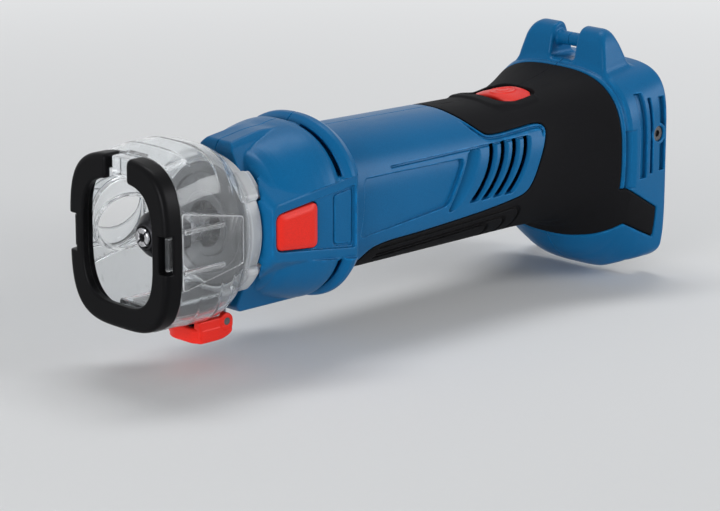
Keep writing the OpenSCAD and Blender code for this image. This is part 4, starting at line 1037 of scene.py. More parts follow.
# Side grooves of the foot: front, width, low and high end
FOOT_GROOVES = [(4.9, 4.7, -10.7, 26.0), (12.0, 1.9, -9.5, 23.5), (18.5, 3.6, -9.2, 23.2)]
FOOT_GROOVE_DEPTH = 1.8
WEDGE_FRONT = X_RIM - 1.6
WEDGE_REAR = X_RIM - 7.6
WEDGE_LOW = -14.0
WEDGE_HIGH = 11.5
WEDGE_DEPTH = 2.7
# Lower corner of the foot across the tool
FOOT_CORNER = [(40.1, -43.0), (34.2, -48.6), (12.0, -57.2)]
HEEL_WALL = 3.0
HEEL_INNER = 28.0
SHOE_LOW, SHOE_HIGH = node_box("battery_shoe")


def lug_form(x, y, z):
    """One lug of the hang loop with half of its bar."""
    crown, shoulder, foot = LUG_FLANK
    side = convex(x, z, [(X_RIM + u, v) for u, v in LUG][::-1], LARGE)
    cross = round_both(plane(y, z, shoulder, foot), y - foot[0], LUG_SIDE)
    cross = round_both(cross, plane(y, z, crown, shoulder), LUG_CROWN)
    lug = round_both(round_both(side, cross, LARGE), LUG_INNER - y, BROAD)
    bar = np.maximum(np.hypot(x - (X_RIM - BAR_BACK), z - BAR_Z) - BAR_R, y - BAR_END)
    return round_add(lug, bar, WIDE)


def foot_corner(y, z):
    """Planes that trim the lower corners of the foot."""
    a = np.abs(y)
    side, heel, sole = FOOT_CORNER
    return round_both(plane(a, z, side, heel), plane(a, z, heel, sole), WIDE)


def foot_details(d, skin, x, y, z):
    """Hang lug, side grooves, wedge, screw seat and the seat of the battery shoe."""
    d = round_both(d, foot_corner(y, z), ROUND)
    d = round_add(d, lug_form(x, y, z), LUG_FILLET)
    for front, width, low, high in FOOT_GROOVES:
        groove = round_both(slab(x, X_CREST - front - width, X_CREST - front), slab(z, low, high), EASED)
        groove = np.maximum(groove, SHOE_SCREW_RING - np.hypot(x - SHOE_SCREW[0], z - SHOE_SCREW[1]))
        d = round_cut(d, np.maximum(groove, -(skin + FOOT_GROOVE_DEPTH)), FINE)
    slope = WEDGE_DEPTH * share_of(x, WEDGE_REAR, WEDGE_FRONT)
    wedge = round_both(slab(x, WEDGE_REAR, WEDGE_FRONT), slab(z, WEDGE_LOW, WEDGE_HIGH), NEAT)
    d = round_cut(d, np.maximum(wedge, -(skin + slope)), FINE)
    d = round_cut(d, rod(x, z, y, SHOE_SCREW, SHOE_SCREW_BORE, SHOE_SCREW_SEAT, OUTSIDE, SHARP), EASED)
    room = brick(x, y, z, (X_REAR - BEHIND, -OUTSIDE, -BELOW),
                 (SHOE_HIGH[0], SHOE_HIGH[1] + SHOE_GAP, SHOE_HIGH[2] + SHOE_GAP), CRISP)
    room = np.maximum(room, np.minimum(foot_corner(y, z) + HEEL_WALL, np.abs(y) - HEEL_INNER))
    return round_cut(d, room, SOFT)


BAY_LOW = (X_RIM + 13.7, -19.0, -19.0)
BAY_HIGH = (X_BARREL - 60.0, 19.0, 19.0)
SCREW_PLACES = [(X_NOSE - 19, 21.0), (X_NOSE - 19, -21.0), (X_BARREL - 54, 20.5), (X_BARREL - 54, -20.5),
                (X_CREST - 4, -46.0)]


SCREW_BORE = 3.3
SCREW_SEAT = 10.0
STEM_FLOOR = 20.0


def screw_room(x, y, z, place):
    """Counterbore of a housing screw."""
    return rod(x, z, y, place, SCREW_BORE, SCREW_SEAT, OUTSIDE, SHARP)


def stem_room(x, y, z):
    """Slot for the stem of the slide switch."""
    reach, half = STEM_HALF + STEM_GAP, STEM_WIDTH + STEM_GAP
    low = (X_STEM - reach, -half, STEM_FLOOR)
    return brick(x, y, z, low, (X_STEM + reach + SWITCH_TRAVEL, half, OUTSIDE), CRISP)


# Bead and groove beside the rubber: height, distance from its edge and width, and where they show
EDGE_BEAD = (0.2, 0.3, 0.4)
EDGE_GROOVE = (1.2, 1.5, 0.55)
EDGE_REACH = 5
BEAD_RISE = (13, 15)
BEAD_FALL = (25, 21)
BEAD_FRONT = (X_RIM + 28, X_RIM + 34)
# Groove behind the rim: depth, distance from the rim and width, and the levels where it fades
RIM_GROOVE = (0.7, -2.4, 0.6)
RIM_FADE = (-16, -12)
# Where the details of barrel, foot and nose are worked out
BARREL_ZONE = (X_FLARE - 6, X_BARREL + 1)
BARREL_SIDE = 10
FOOT_ZONE = X_RIM + 4
NOSE_ZONE = X_BARREL - 6
NOSE_FILLET = 0.9
HANDLE_FRONT = X_LIP - 1


def housing_field(side):
    """One half of the clamshell housing."""

    def field(x, y, z):
        y = side * y
        skin = HANDLE(x, y, z)
        rubber = GRIP(x, z)
        edge = np.clip(rubber, 0, EDGE_REACH)
        bead = ridge(edge, *EDGE_BEAD) - ridge(edge, *EDGE_GROOVE)
        window = share_of(z, *BEAD_RISE) * share_of(z, *BEAD_FALL) * share_of(x, *BEAD_FRONT)
        rim = ridge(x - X_RIM, *RIM_GROOVE) * share_of(z, *RIM_FADE)
        d = round_both(skin - bead * window + rim, X_REAR - x, BROAD)
        d = np.maximum(d, x - HANDLE_FRONT)
        d = round_cut(d, np.maximum(rubber - SEAM, -under_rubber(x, y, z, skin)), ROUND)
        barrel = (x > BARREL_ZONE[0]) & (x < BARREL_ZONE[1]) & (y > BARREL_SIDE)
        if barrel.any():
            d[barrel] = barrel_details(d[barrel], skin[barrel], x[barrel], z[barrel])
        foot = x < FOOT_ZONE
        if foot.any():
            d[foot] = foot_details(d[foot], skin[foot], x[foot], y[foot], z[foot])
        nose = x > NOSE_ZONE
        if nose.any():
            d[nose] = round_add(d[nose], nose_field(x[nose], y[nose], z[nose], side), NOSE_FILLET)
        d = np.maximum(d, -brick(x, y, z, BAY_LOW, BAY_HIGH, CRISP))
        d = np.maximum(d, -stem_room(x, y, z))
        if side < 0:
            for place in SCREW_PLACES:
                d = round_cut(d, screw_room(x, y, z, place), EASED)
        return round_both(d, PARTING - y, PARTING_EDGE)

    return field


HUMP_FRONT = X_FLARE + 13.5
HUMP_REAR = X_FLARE - 14.0
HUMP_HALF = 16.0
HUMP_TOP = 29.0
SWITCH_LOW, SWITCH_HIGH = node_box("switch_cap")
SWITCH_TRAVEL = 6.0
SWITCH_HALF = 11.6
SWITCH_TOP = 29.2
SWITCH_FALL = 2.4
SWITCH_FLOOR = 1.9
SWITCH_POCKET = 1.3
X_SWITCH = SWITCH_HIGH[0] - 0.5
X_STEM = X_SWITCH - 8.7
STEM_HALF = 2.2
STEM_WIDTH = 1.8
STEM_GAP = 0.4
# Loops moulded in the belly: level at the front, lean and rear end
BELLY_FRONT = X_BARREL - 20.0
BELLY_LOOPS = [(-19.2, 0.054, X_BARREL - 102.3), (-22.3, 0.056, X_BARREL - 95.1),
               (-24.2, 0.061, X_BARREL - 86.4)]
LOOP_CORNER = 6.0
LOOP_HALF = 0.55
LOOP_DEPTH = 0.9
RUBBER_EDGE = 0.05
RUBBER_PARTING = -0.02
RUBBER_ROUND = 1.1


# Hump: corners in plan, lean of its flank, lead-in at the switch's front, and crown
HUMP_CORNERS = (7.0, 3.0)
HUMP_LEAN = 0.8
HUMP_DEEP = -1.5
HUMP_SLOPE = 1.3
HUMP_LEAD = (-3, 4)
HUMP_PROUD = (0.5, 2.4)
HUMP_FALL = 1.6
HUMP_CROWN = 13


def hump_form(x, y, z, skin):
    """Raised island of rubber round the slide switch, highest in front of it."""
    plan = round_both(x - HUMP_FRONT, np.abs(y) - HUMP_HALF, HUMP_CORNERS[0])
    plan = round_both(plan, HUMP_REAR - x, HUMP_CORNERS[1])
    flank = (plan + HUMP_LEAN * np.maximum(skin, HUMP_DEEP)) / HUMP_SLOPE
    lead = share_of(x, *(X_SWITCH + ahead for ahead in HUMP_LEAD))
    crown = np.maximum(z - HUMP_TOP + HUMP_FALL * (y / HUMP_CROWN) ** 2, skin - HUMP_PROUD[1])
    return round_both(flank, mix(skin - HUMP_PROUD[0], crown, lead), MILD)


SWITCH_CORNER = 5.0


def switch_plan(x, y, front, grow):
    """Outline of the slide switch from above."""
    length = slab(x, SWITCH_LOW[0] - grow, front + grow)
    return round_both(length, np.abs(y) - SWITCH_HALF - grow, SWITCH_CORNER)


POCKET_MARGIN = 1.5


def under_rubber(x, y, z, skin):
    """Field of what lies under the rubber, with a pocket for thicker rubber under the slide switch."""
    plan = switch_plan(x, y, X_SWITCH + SWITCH_TRAVEL, POCKET_MARGIN)
    pocket = np.maximum(plan, -(skin + GRIP_T + SWITCH_POCKET))
    return np.maximum(skin + GRIP_T, -np.maximum(pocket, -z))


# Where the details of the crown are worked out
CROWN_ZONE = (HUMP_REAR - 7, HUMP_FRONT + 8)
CROWN_LEVEL = 15
SWITCH_GAP = 0.4


def grip_field(side):
    """One half of the rubber overmould."""

    def field(x, y, z):
        y = side * y
        skin = HANDLE(x, y, z)
        d = round_both(skin, GRIP(x, z) + SEAM, RUBBER_ROUND)
        crown = (x > CROWN_ZONE[0]) & (x < CROWN_ZONE[1]) & (z > CROWN_LEVEL)
        if crown.any():
            u, v, w, depth = x[crown], y[crown], z[crown], skin[crown]
            form = round_add(d[crown], hump_form(u, v, w, depth), SOFT)
            slot = switch_plan(u, v, X_SWITCH + SWITCH_TRAVEL, SWITCH_GAP)
            form = round_cut(form, np.maximum(slot, -(depth + SWITCH_FLOOR)), EASED)
            d[crown] = np.maximum(form, -stem_room(u, v, w))
        for level, lean, end in BELLY_LOOPS:
            loop = round_both(z - level - lean * (BELLY_FRONT - x), end - x, LOOP_CORNER)
            loop = np.maximum(np.abs(loop) - LOOP_HALF, x - BELLY_FRONT)
            d = round_cut(d, np.maximum(loop, -(skin + LOOP_DEPTH)), NEAT)
        d = np.maximum(d, -under_rubber(x, y, z, skin))
        if side < 0:
            d = round_cut(d, screw_room(x, y, z, SCREW_PLACES[3]), EASED)
        return round_both(d, RUBBER_PARTING - y, RUBBER_EDGE)

    return field


# Clear hood and foot ring; the hood's shares tell station, half width, rise, drop and squareness
HOOD_SHARES = [(0, 0.97, 0.78, 0.90, 1), (0.1, 0.945, 0.89, 0.965, 0.82),
               (0.24, 0.965, 0.955, 0.985, 0.68), (0.42, 0.985, 0.985, 0.99, 0.6),
               (0.7, 0.995, 0.97, 0.985, 0.58), (1, 0.99, 0.927, 0.958, 0.60)]
HOOD_HALF = 29.0
HOOD_TOP = 36.8
HOOD_DROP = 35.6
HOOD_WALL = 2.0
RING_LOW, RING_HIGH = node_box("foot_ring")
RING_LIFT = 0.9
X_HOOD = RING_LOW[0]
X_COLLAR = X_FLANGE - 1.0
PORT_ROOT = (-9.0, -20.0, 1.0)
PORT_AXIS = np.array((-0.3, -0.9, 0.3))
PORT_BORE = 11.5
PORT_LEN = 16.0
RAIL_LOW, RAIL_HIGH = node_box("depth_rail")
LEVER_LOW, LEVER_HIGH = node_box("clamp_lever")
PIVOT = (X_FLANGE - 3.0, -HOOD_DROP - 3.0)


def hood_sections(x):
    """Half width, rise, drop and squareness above and below of the hood by station."""
    rows = np.array(HOOD_SHARES, float).T
    stations = mix(X_COLLAR, X_HOOD, rows[0])
    half, rise, drop, share = (np.interp(x, stations, row) for row in rows[1:])
    return half * HOOD_HALF, rise * HOOD_TOP, drop * HOOD_DROP, 2 / share, 2 / share


HOOD_MARGIN = 8
HOOD = Skin(X_COLLAR - HOOD_MARGIN, X_HOOD + HOOD_MARGIN, hood_sections)


def port_reach(x, y, z):
    """Distance from the port's axis, and along it."""
    axis = PORT_AXIS / np.linalg.norm(PORT_AXIS)
    u, v, w = x - PORT_ROOT[0], y - PORT_ROOT[1], z - PORT_ROOT[2]
    along = u * axis[0] + v * axis[1] + w * axis[2]
    off = np.sqrt(np.maximum(u * u + v * v + w * w - along**2, 0))
    return off, along


def pivot_reach(x, z):
    """Distance from the axis of the clamp lever."""
    return np.hypot(x - PIVOT[0], z - PIVOT[1])


# Side panels and their ribs: setback from the ring and level, root and how proud they are
HOOD_PANEL = [(0, -15.5), (31, -9.5), (31, 9.5), (0, 15.5)]
HOOD_PANEL_ROOT = 4
HOOD_PANEL_PROUD = 0.5
RIB_LEVELS = (-8.0, 8.0)
RIB_HALF = 0.9
RIB_ENDS = (X_HOOD - 21, X_HOOD - 0.4)
RIB_ROOT = 2
RIB_PROUD = 1.3
# Collar, tabs and ears: inner and outer radius, ends along the axis, middle and half angle in degrees
COLLAR_R = (25.3, 28.2)
COLLAR_ENDS = (X_COLLAR - 4.7, X_COLLAR + 1)
COLLAR_FLOOR = 0.5
COLLAR_DEPTH = 2
TAB_R = (26.6, 28.6)
TAB_ENDS = (X_NOSE - 3.2, X_COLLAR - 1)
TAB_TURN = (41.5, 12.5)
EAR_R = (27.0, 31.0)
EAR_ENDS = (X_NOSE + 0.5, X_COLLAR + 4.5)
EAR_TURN = (40.0, 13.0)
EAR_CORNER = 2.5


def hood_shell(x, y, z):
    """Hollow shell of the hood with side panels, ribs, collar, tabs and ears."""
    a = np.abs(y)
    r = np.hypot(y, z)
    skin = HOOD(x, y, z)
    reach = slab(x, X_COLLAR, X_HOOD)
    d = round_both(skin, reach, SOFT)
    panel = convex(x, z, [(X_HOOD - back, level) for back, level in HOOD_PANEL], WIDE)
    proud = slab(a, HOOD_HALF - HOOD_PANEL_ROOT, HOOD_HALF + HOOD_PANEL_PROUD)
    d = round_add(d, np.maximum(np.maximum(panel, reach), proud), FINE)
    for level in RIB_LEVELS:
        rib = brick(x, a, z, (RIB_ENDS[0], HOOD_HALF - RIB_ROOT, level - RIB_HALF),
                    (RIB_ENDS[1], HOOD_HALF + RIB_PROUD, level + RIB_HALF), MILD)
        d = np.minimum(d, rib)
    d = round_add(d, round_both(slab(r, *COLLAR_R), slab(x, *COLLAR_ENDS), SOFT), SOFT)
    d = round_cut(d, np.maximum(skin + HOOD_WALL, X_COLLAR + COLLAR_FLOOR - x), MILD)
    d = np.maximum(d, -np.maximum(r - COLLAR_R[0], x - X_COLLAR - COLLAR_DEPTH))
    tab = round_both(slab(r, *TAB_R), sector(y, z, *TAB_TURN), SOFT)
    d = np.minimum(d, round_both(tab, slab(x, *TAB_ENDS), FULL))
    ear = round_both(slab(r, *EAR_R), sector(y, z, *EAR_TURN), EAR_CORNER)
    return np.minimum(d, round_both(ear, slab(x, *EAR_ENDS), BROAD))


# Boxes of the hood, as low and high corner: rail guide, snaps, key with its root, rail channel, shoe window
GUIDE_BOX = ((X_FLANGE + 1, -10.35, -HOOD_DROP), (X_HOOD - 1, 10.35, RAIL_HIGH[2] + 2.35))
SNAP_BOX = ((X_HOOD - 1, HOOD_HALF - 3, -6.5), (X_HOOD + 6.6, HOOD_HALF - 1, 6.5))
KEY_BOX = ((X_HOOD - 4, -5.6, 25.5), (X_HOOD + 5.3, 5.6, 33.5))
KEY_ROOT_BOX = ((X_HOOD - 4, -5.6, 32.0), (X_HOOD - 1, 5.6, HOOD_TOP - 3.5))
RAIL_GAP = 0.35
CHANNEL_BOX = ((X_COLLAR - 8, RAIL_LOW[1] - RAIL_GAP, RAIL_LOW[2] - RAIL_GAP),
               (X_HOOD + 9, RAIL_HIGH[1] + RAIL_GAP, RAIL_HIGH[2] + RAIL_GAP))
WINDOW_BOX = ((PIVOT[0] + 6.9, -4.6, -OUTSIDE), (PIVOT[0] + 14.1, 4.6, RAIL_LOW[2]))
SPOUT_WALL = 1.8
SPOUT_CUT = 4
EYE_R = 3.4
EYE_HALF = 5.5
EYE_WEB = ((PIVOT[0] - EYE_R, X_FLANGE + 7.8), (PIVOT[1], -HOOD_DROP + 1))
PIN_ROOM = 1.55


def hood_field(x, y, z):
    """Clear dust hood: shell, rail guide, port, snaps, key and the eye of the clamp lever."""
    a = np.abs(y)
    d = hood_shell(x, y, z)
    d = round_add(d, brick(x, y, z, *GUIDE_BOX, SOFT), SOFT)
    off, along = port_reach(x, y, z)
    spout = round_both(off - PORT_BORE - SPOUT_WALL, slab(along, 0, PORT_LEN), SOFT)
    d = round_add(d, spout, FULL)
    d = round_cut(d, np.maximum(off - PORT_BORE, slab(along, -SPOUT_CUT, PORT_LEN + SPOUT_CUT)), NEAT)
    d = np.minimum(d, brick(x, a, z, *SNAP_BOX, EASED))
    d = np.minimum(d, brick(x, y, z, *KEY_BOX, SOFT))
    d = np.minimum(d, brick(x, y, z, *KEY_ROOT_BOX, EASED))
    web = np.maximum(slab(x, *EYE_WEB[0]), slab(z, *EYE_WEB[1]))
    eye = np.minimum(pivot_reach(x, z) - EYE_R, web)
    d = np.minimum(d, round_both(eye, a - EYE_HALF, EASED))
    d = round_cut(d, brick(x, y, z, *CHANNEL_BOX, CRISP), NEAT)
    d = np.maximum(d, -brick(x, y, z, *WINDOW_BOX, SHARP))
    return np.maximum(d, -(pivot_reach(x, z) - PIN_ROOM))


def oval(y, z, half, rise, power):
    """Field of a squarish oval in the cross plane."""
    a, b = np.abs(y) + TINY, np.abs(z) + TINY
    side, level = (a / half) ** power, (b / rise) ** power
    total = side + level
    reach = total ** (1 / power)
    return (reach - 1) / (reach / total * np.sqrt((side / a) ** 2 + (level / b) ** 2))


# Foot ring: squareness, bore, rounded front, inner ledge, top gap, side slots and room for the snaps
RING_SHARE = 0.60
RING_BORE = (20.6, 24.6)
RING_ROUND = 2.6
LEDGE_WIDTH = 3.6
LEDGE_BACK = 3.2
RING_GAP = 6.2
SLOT_BOX = ((X_HOOD + 4.5, 24.6, -7.4), (X_HOOD + 20, OUTSIDE, 7.4))
SNAP_ROOM_BOX = ((X_HOOD - 4, 25.6, -7.0), (X_HOOD + 8, 28.4, 7.0))


def ring_field(x, y, z):
    """Black foot ring with rounded front, top gap and side slots."""
    a = np.abs(y)
    outer = oval(y, z, RING_HIGH[1], RING_HIGH[2] + RING_LIFT, 2 / RING_SHARE)
    inner = oval(y, z, *RING_BORE, 2 / RING_SHARE)
    d = round_both(outer, x - RING_HIGH[0], RING_ROUND)
    d = round_both(d, X_HOOD - x, SOFT)
    d = round_cut(d, inner, FULL)
    d = round_cut(d, np.maximum(inner - LEDGE_WIDTH, x - RING_HIGH[0] + LEDGE_BACK), EASED)
    d = round_cut(d, np.maximum(slab(y, -RING_GAP, RING_GAP), -z), BROAD)
    d = round_cut(d, brick(x, a, z, *SLOT_BOX, NEAT), EASED)
    return np.maximum(d, -brick(x, a, z, *SNAP_ROOM_BOX, CRISP))


# Controls

BUTTON_LEAN = 0.5
BUTTON_STEEP = 1.12


def lock_button_field(x, y, z):
    """Spindle lock button with bevelled edges round a flat face."""
    d = button_form(x, y, z, 0.0, BUTTON_LOW[1])
    bevel = (y - BUTTON_HIGH[1] + BUTTON_LEAN * (d + BUTTON_BEVEL)) / BUTTON_STEEP
    return round_both(round_both(d, bevel, FINE), y - BUTTON_HIGH[1], NEAT)


# Slide switch cap: gap over the slot's floor, dipped nose, raised ovals and edge
CAP_GAP = 0.35
CAP_DIP = 1.3
CAP_DIP_LEN = 7
CAP_SINK = 0.3
CAP_STEEP = 1.1
CAP_EDGE = 0.9
OVAL_BACK = 8.0
OVAL_STRETCH = 1.2
OVAL_RIDGES = [(0.4, 4.8, 0.5), (0.3, 2.2, 0.5)]
STEM_TOP = 27.6


def switch_field(x, y, z):
    """Slide switch cap with a crown and two raised ovals, on its stem."""
    skin = HANDLE(x, y, z)
    d = np.maximum(switch_plan(x, y, X_SWITCH, 0.0), -(skin + SWITCH_FLOOR - CAP_GAP))
    crown = z - SWITCH_TOP + SWITCH_FALL * (y / SWITCH_HALF) ** 2
    crown = crown + CAP_DIP * share_of(x, X_SWITCH - CAP_DIP_LEN, X_SWITCH) ** 2
    spot = np.hypot((x - X_SWITCH + OVAL_BACK) / OVAL_STRETCH, y)
    raised = sum(ridge(spot, *row) for row in OVAL_RIDGES)
    d = round_both(d, (crown + CAP_SINK - raised) / CAP_STEEP, CAP_EDGE)
    stem = brick(x, y, z, (X_STEM - STEM_HALF, -STEM_WIDTH, SWITCH_LOW[2]),
                 (X_STEM + STEM_HALF, STEM_WIDTH, STEM_TOP), NEAT)
    return np.minimum(d, stem)


# Clamp lever: chamfered tip, heel, finger ridges, and cheeks and knuckles beside the eye
LEVER_HALF = (LEVER_HIGH[1] - LEVER_LOW[1]) / 2
LEVER_TOP = PIVOT[1] - 1.0
LEVER_ROUND = 1.4
LEVER_TIP = [(LEVER_HIGH[0] - 1.6, LEVER_HALF), (LEVER_HIGH[0], 7.0)]
LEVER_HEEL = [(PIVOT[0] + 2.4, LEVER_LOW[2]), (LEVER_LOW[0], LEVER_LOW[2] + 2.4)]
RIDGE_HEIGHT = 0.3
RIDGE_PITCH = 2.6
RIDGE_START = (PIVOT[0] + 6, PIVOT[0] + 8)
RIDGE_FADE = (8.6, 7.4)
RIDGE_SINK = 0.35
CHEEK_ENDS = (PIVOT[0] - 2.0, LEVER_HIGH[0] - 1.0)
CHEEK_LEVELS = (LEVER_LOW[2] + 2, PIVOT[1] + 2.0)
CHEEK_INNER = 5.85
CHEEK_INSET = 0.2
YOKE_BOX = ((PIVOT[0] - 30, -CHEEK_INNER, -80), (PIVOT[0] + 4.1, CHEEK_INNER, -20))
LEVER_BORE = 1.53


def lever_field(x, y, z):
    """Red clamp lever with knuckles and finger ridges."""
    a = np.abs(y)
    plan = round_both(a - LEVER_HALF, plane(x, a, *LEVER_TIP), ROUND)
    plan = round_both(plan, slab(x, LEVER_LOW[0], LEVER_HIGH[0]), BROAD)
    blade = round_both(slab(z, LEVER_LOW[2], LEVER_TOP), plane(x, z, *LEVER_HEEL), LEVER_ROUND)
    d = round_both(plan, blade, LEVER_ROUND)
    ridges = RIDGE_HEIGHT * np.sin(x * 2 * math.pi / RIDGE_PITCH) * share_of(x, *RIDGE_START)
    d = round_both(d, LEVER_LOW[2] + RIDGE_SINK - ridges * share_of(a, *RIDGE_FADE) - z, EASED)
    cheek = round_both(slab(x, *CHEEK_ENDS), slab(z, *CHEEK_LEVELS), ROUND)
    d = np.minimum(d, round_both(cheek, slab(a, CHEEK_INNER, LEVER_HALF - CHEEK_INSET), EASED))
    knuckle = round_both(pivot_reach(x, z) - EYE_R, slab(a, CHEEK_INNER, LEVER_HALF), SOFT)
    d = round_add(d, knuckle, SOFT)
    d = round_cut(d, brick(x, y, z, *YOKE_BOX, FINE), NEAT)
    return np.maximum(d, LEVER_BORE - pivot_reach(x, z))


# Spindle nose
NUT_LOW, NUT_HIGH = node_box("collet_nut")
COLLET_LOW, COLLET_HIGH = node_box("collet")


def hexagon(y, z, flats):
    """Field of a six-sided bar along X."""
    across = [np.abs(y * math.cos(q) + z * math.sin(q)) for q in np.radians((0, 60, 120))]
    return np.max(across, 0) - flats / 2


# Collet nut: width over flats, radii, and setbacks from its front
NUT_FLATS = 17.0
NUT_CORNER_R = 9.5
NUT_HEX_BACK = 7.0
GUARD_R = 9.2
GUARD_LEN = 9.5
NUT_CONE = [(4.5, GUARD_R), (0.0, 5.0)]
NUT_MOUTH_R = 4.3
NUT_MOUTH_REAR = -4.0
NUT_BORE_R = 6.33
NUT_BORE_FRONT = -3.0


def nut_field(x, y, z):
    """Collet nut: hexagon, guard collar and cone."""
    r = np.hypot(y, z)
    front = NUT_HIGH[0]
    hexed = round_both(hexagon(y, z, NUT_FLATS), r - NUT_CORNER_R, EASED)
    hexed = round_both(hexed, slab(x, NUT_LOW[0], front - NUT_HEX_BACK), SOFT)
    cone = plane(x, r, *((front - back, radius) for back, radius in NUT_CONE))
    collar = round_both(round_both(r - GUARD_R, cone, SOFT), slab(x, front - GUARD_LEN, front), EASED)
    d = round_add(hexed, collar, FINE)
    d = round_cut(d, np.maximum(r - NUT_MOUTH_R, NUT_MOUTH_REAR - x), NEAT)
    return np.maximum(d, -np.maximum(r - NUT_BORE_R, x - NUT_BORE_FRONT))


COLLET_R = (3.7, 4.1)
COLLET_TAPER = (0, -3.2)
COLLET_BORE = 1.6
SLIT_HALF = 0.3
SLIT_REAR = -12.0
SLIT_EDGE = 0.15


def collet_field(x, y, z):
    """Slit collet with a chamfered mouth."""
    r = np.hypot(y, z)
    radius = mix(*COLLET_R, share_of(x, *COLLET_TAPER))
    d = round_both(r - radius, slab(x, COLLET_LOW[0], COLLET_HIGH[0]), FINE)
    d = round_cut(d, r - COLLET_BORE, FINE)
    q = (y + z) / math.sqrt(2), (y - z) / math.sqrt(2)
    slits = np.minimum(np.abs(q[0]), np.abs(q[1])) - SLIT_HALF
    return round_cut(d, np.maximum(slits, SLIT_REAR - x), SLIT_EDGE)


FLANGE_R = 25.0
FLANGE_STEP = (13.0, 20.5)
FLANGE_STEP_DEPTH = 1.2
FLANGE_BORE = 9.0
FLANGE_BORE_BACK = 2
SPIGOT_LAP = 1
BEARING_R = 11.0
BEARING_ENDS = (X_NOSE - 9, X_NOSE - 1)


def flange_field(x, y, z):
    """Turned front flange with a stepped face and a chamfered rim."""
    r = np.hypot(y, z)
    d = round_both(r - FLANGE_R, slab(x, X_NOSE, X_FLANGE), FULL)
    d = round_cut(d, np.maximum(slab(r, *FLANGE_STEP), X_FLANGE - FLANGE_STEP_DEPTH - x), SOFT)
    d = np.minimum(d, np.maximum(r - SPIGOT_R, slab(x, X_NOSE - SPIGOT_LEN, X_NOSE + SPIGOT_LAP)))
    d = round_cut(d, np.maximum(r - FLANGE_BORE, X_NOSE - FLANGE_BORE_BACK - x), SOFT)
    return np.maximum(d, -np.maximum(r - BEARING_R, slab(x, *BEARING_ENDS)))


# Battery side
TERMINAL_LOW, TERMINAL_HIGH = node_box("terminal_block")


# Battery shoe: channel behind the rails, mouth between them, ribs on the floor and hole of the terminal block
SHOE_FLOOR = SHOE_HIGH[0] - 4.0
SHOE_CEILING = SHOE_HIGH[2] - 3.0
SHOE_CHANNEL = ((X_REAR + 3.5, -30.5, -BELOW), (SHOE_FLOOR, 30.5, SHOE_CEILING))
SHOE_MOUTH = ((X_REAR - BEHIND, -26.5, -BELOW), (SHOE_FLOOR, 26.5, SHOE_CEILING))
SHOE_RIBS = (21.0, 24.0)
SHOE_RIB_HALF = 0.6
SHOE_RIB_LOW = (SHOE_FLOOR - 0.6, -44.0)
SHOE_RIB_HIGH = (SHOE_FLOOR + 1, 18.0)
TERMINAL_HOLE = ((SHOE_FLOOR - 2, TERMINAL_LOW[1], TERMINAL_LOW[2]),
                 (SHOE_HIGH[0] + 2, TERMINAL_HIGH[1], TERMINAL_HIGH[2]))
SHOE_INSET = 1.2
HEEL_GAP = 0.2
SHOE_SCREW_R = 1.7


def shoe_field(x, y, z):
    """Black battery shoe: channel, two rails, ribs and the hole of the terminal block."""
    a = np.abs(y)
    d = brick(x, y, z, SHOE_LOW, SHOE_HIGH, EASED)
    d = round_cut(d, brick(x, y, z, *SHOE_CHANNEL, NEAT), EASED)
    d = round_cut(d, brick(x, y, z, *SHOE_MOUTH, NEAT), SOFT)
    for level in SHOE_RIBS:
        low = (SHOE_RIB_LOW[0], level - SHOE_RIB_HALF, SHOE_RIB_LOW[1])
        high = (SHOE_RIB_HIGH[0], level + SHOE_RIB_HALF, SHOE_RIB_HIGH[1])
        d = np.minimum(d, brick(x, a, z, low, high, FINE))
    d = np.maximum(d, -brick(x, y, z, *TERMINAL_HOLE, SHARP))
    corner = foot_corner(y, z)
    d = round_both(d, corner + SHOE_INSET, EASED)
    d = np.maximum(d, np.minimum(corner + HEEL_WALL + HEEL_GAP, a - HEEL_INNER + HEEL_GAP))
    return np.maximum(d, SHOE_SCREW_R - np.hypot(x - SHOE_SCREW[0], z - SHOE_SCREW[1]))


# Terminal block: towers, then half width, half height, depth and edge of their mouths and blade slots
TOWERS = 4
TOWER_PITCH = 7.0
TOWER_MOUTH = (1.3, 9.5, 3, 0.5)
BLADE_SLOT = (0.42, 8.1, 8.1, 0.1)
TERMINAL_OVERRUN = 2


def tower_slot(x, y, z, place, half, rise, depth, edge):
    """Field of a slot in a tower's face."""
    middle = (TERMINAL_LOW[2] + TERMINAL_HIGH[2]) / 2
    return brick(x, y, z, (TERMINAL_LOW[0] - TERMINAL_OVERRUN, place - half, middle - rise),
                 (TERMINAL_LOW[0] + depth, place + half, middle + rise), edge)


def terminal_field(x, y, z):
    """Terminal block with slotted towers round the contact blades."""
    d = brick(x, y, z, TERMINAL_LOW, TERMINAL_HIGH, SOFT)
    for k in range(TOWERS):
        place = (k - (TOWERS - 1) / 2) * TOWER_PITCH
        d = round_cut(d, tower_slot(x, y, z, place, *TOWER_MOUTH), NEAT)
        d = np.maximum(d, -tower_slot(x, y, z, place, *BLADE_SLOT))
    return d


# Settings


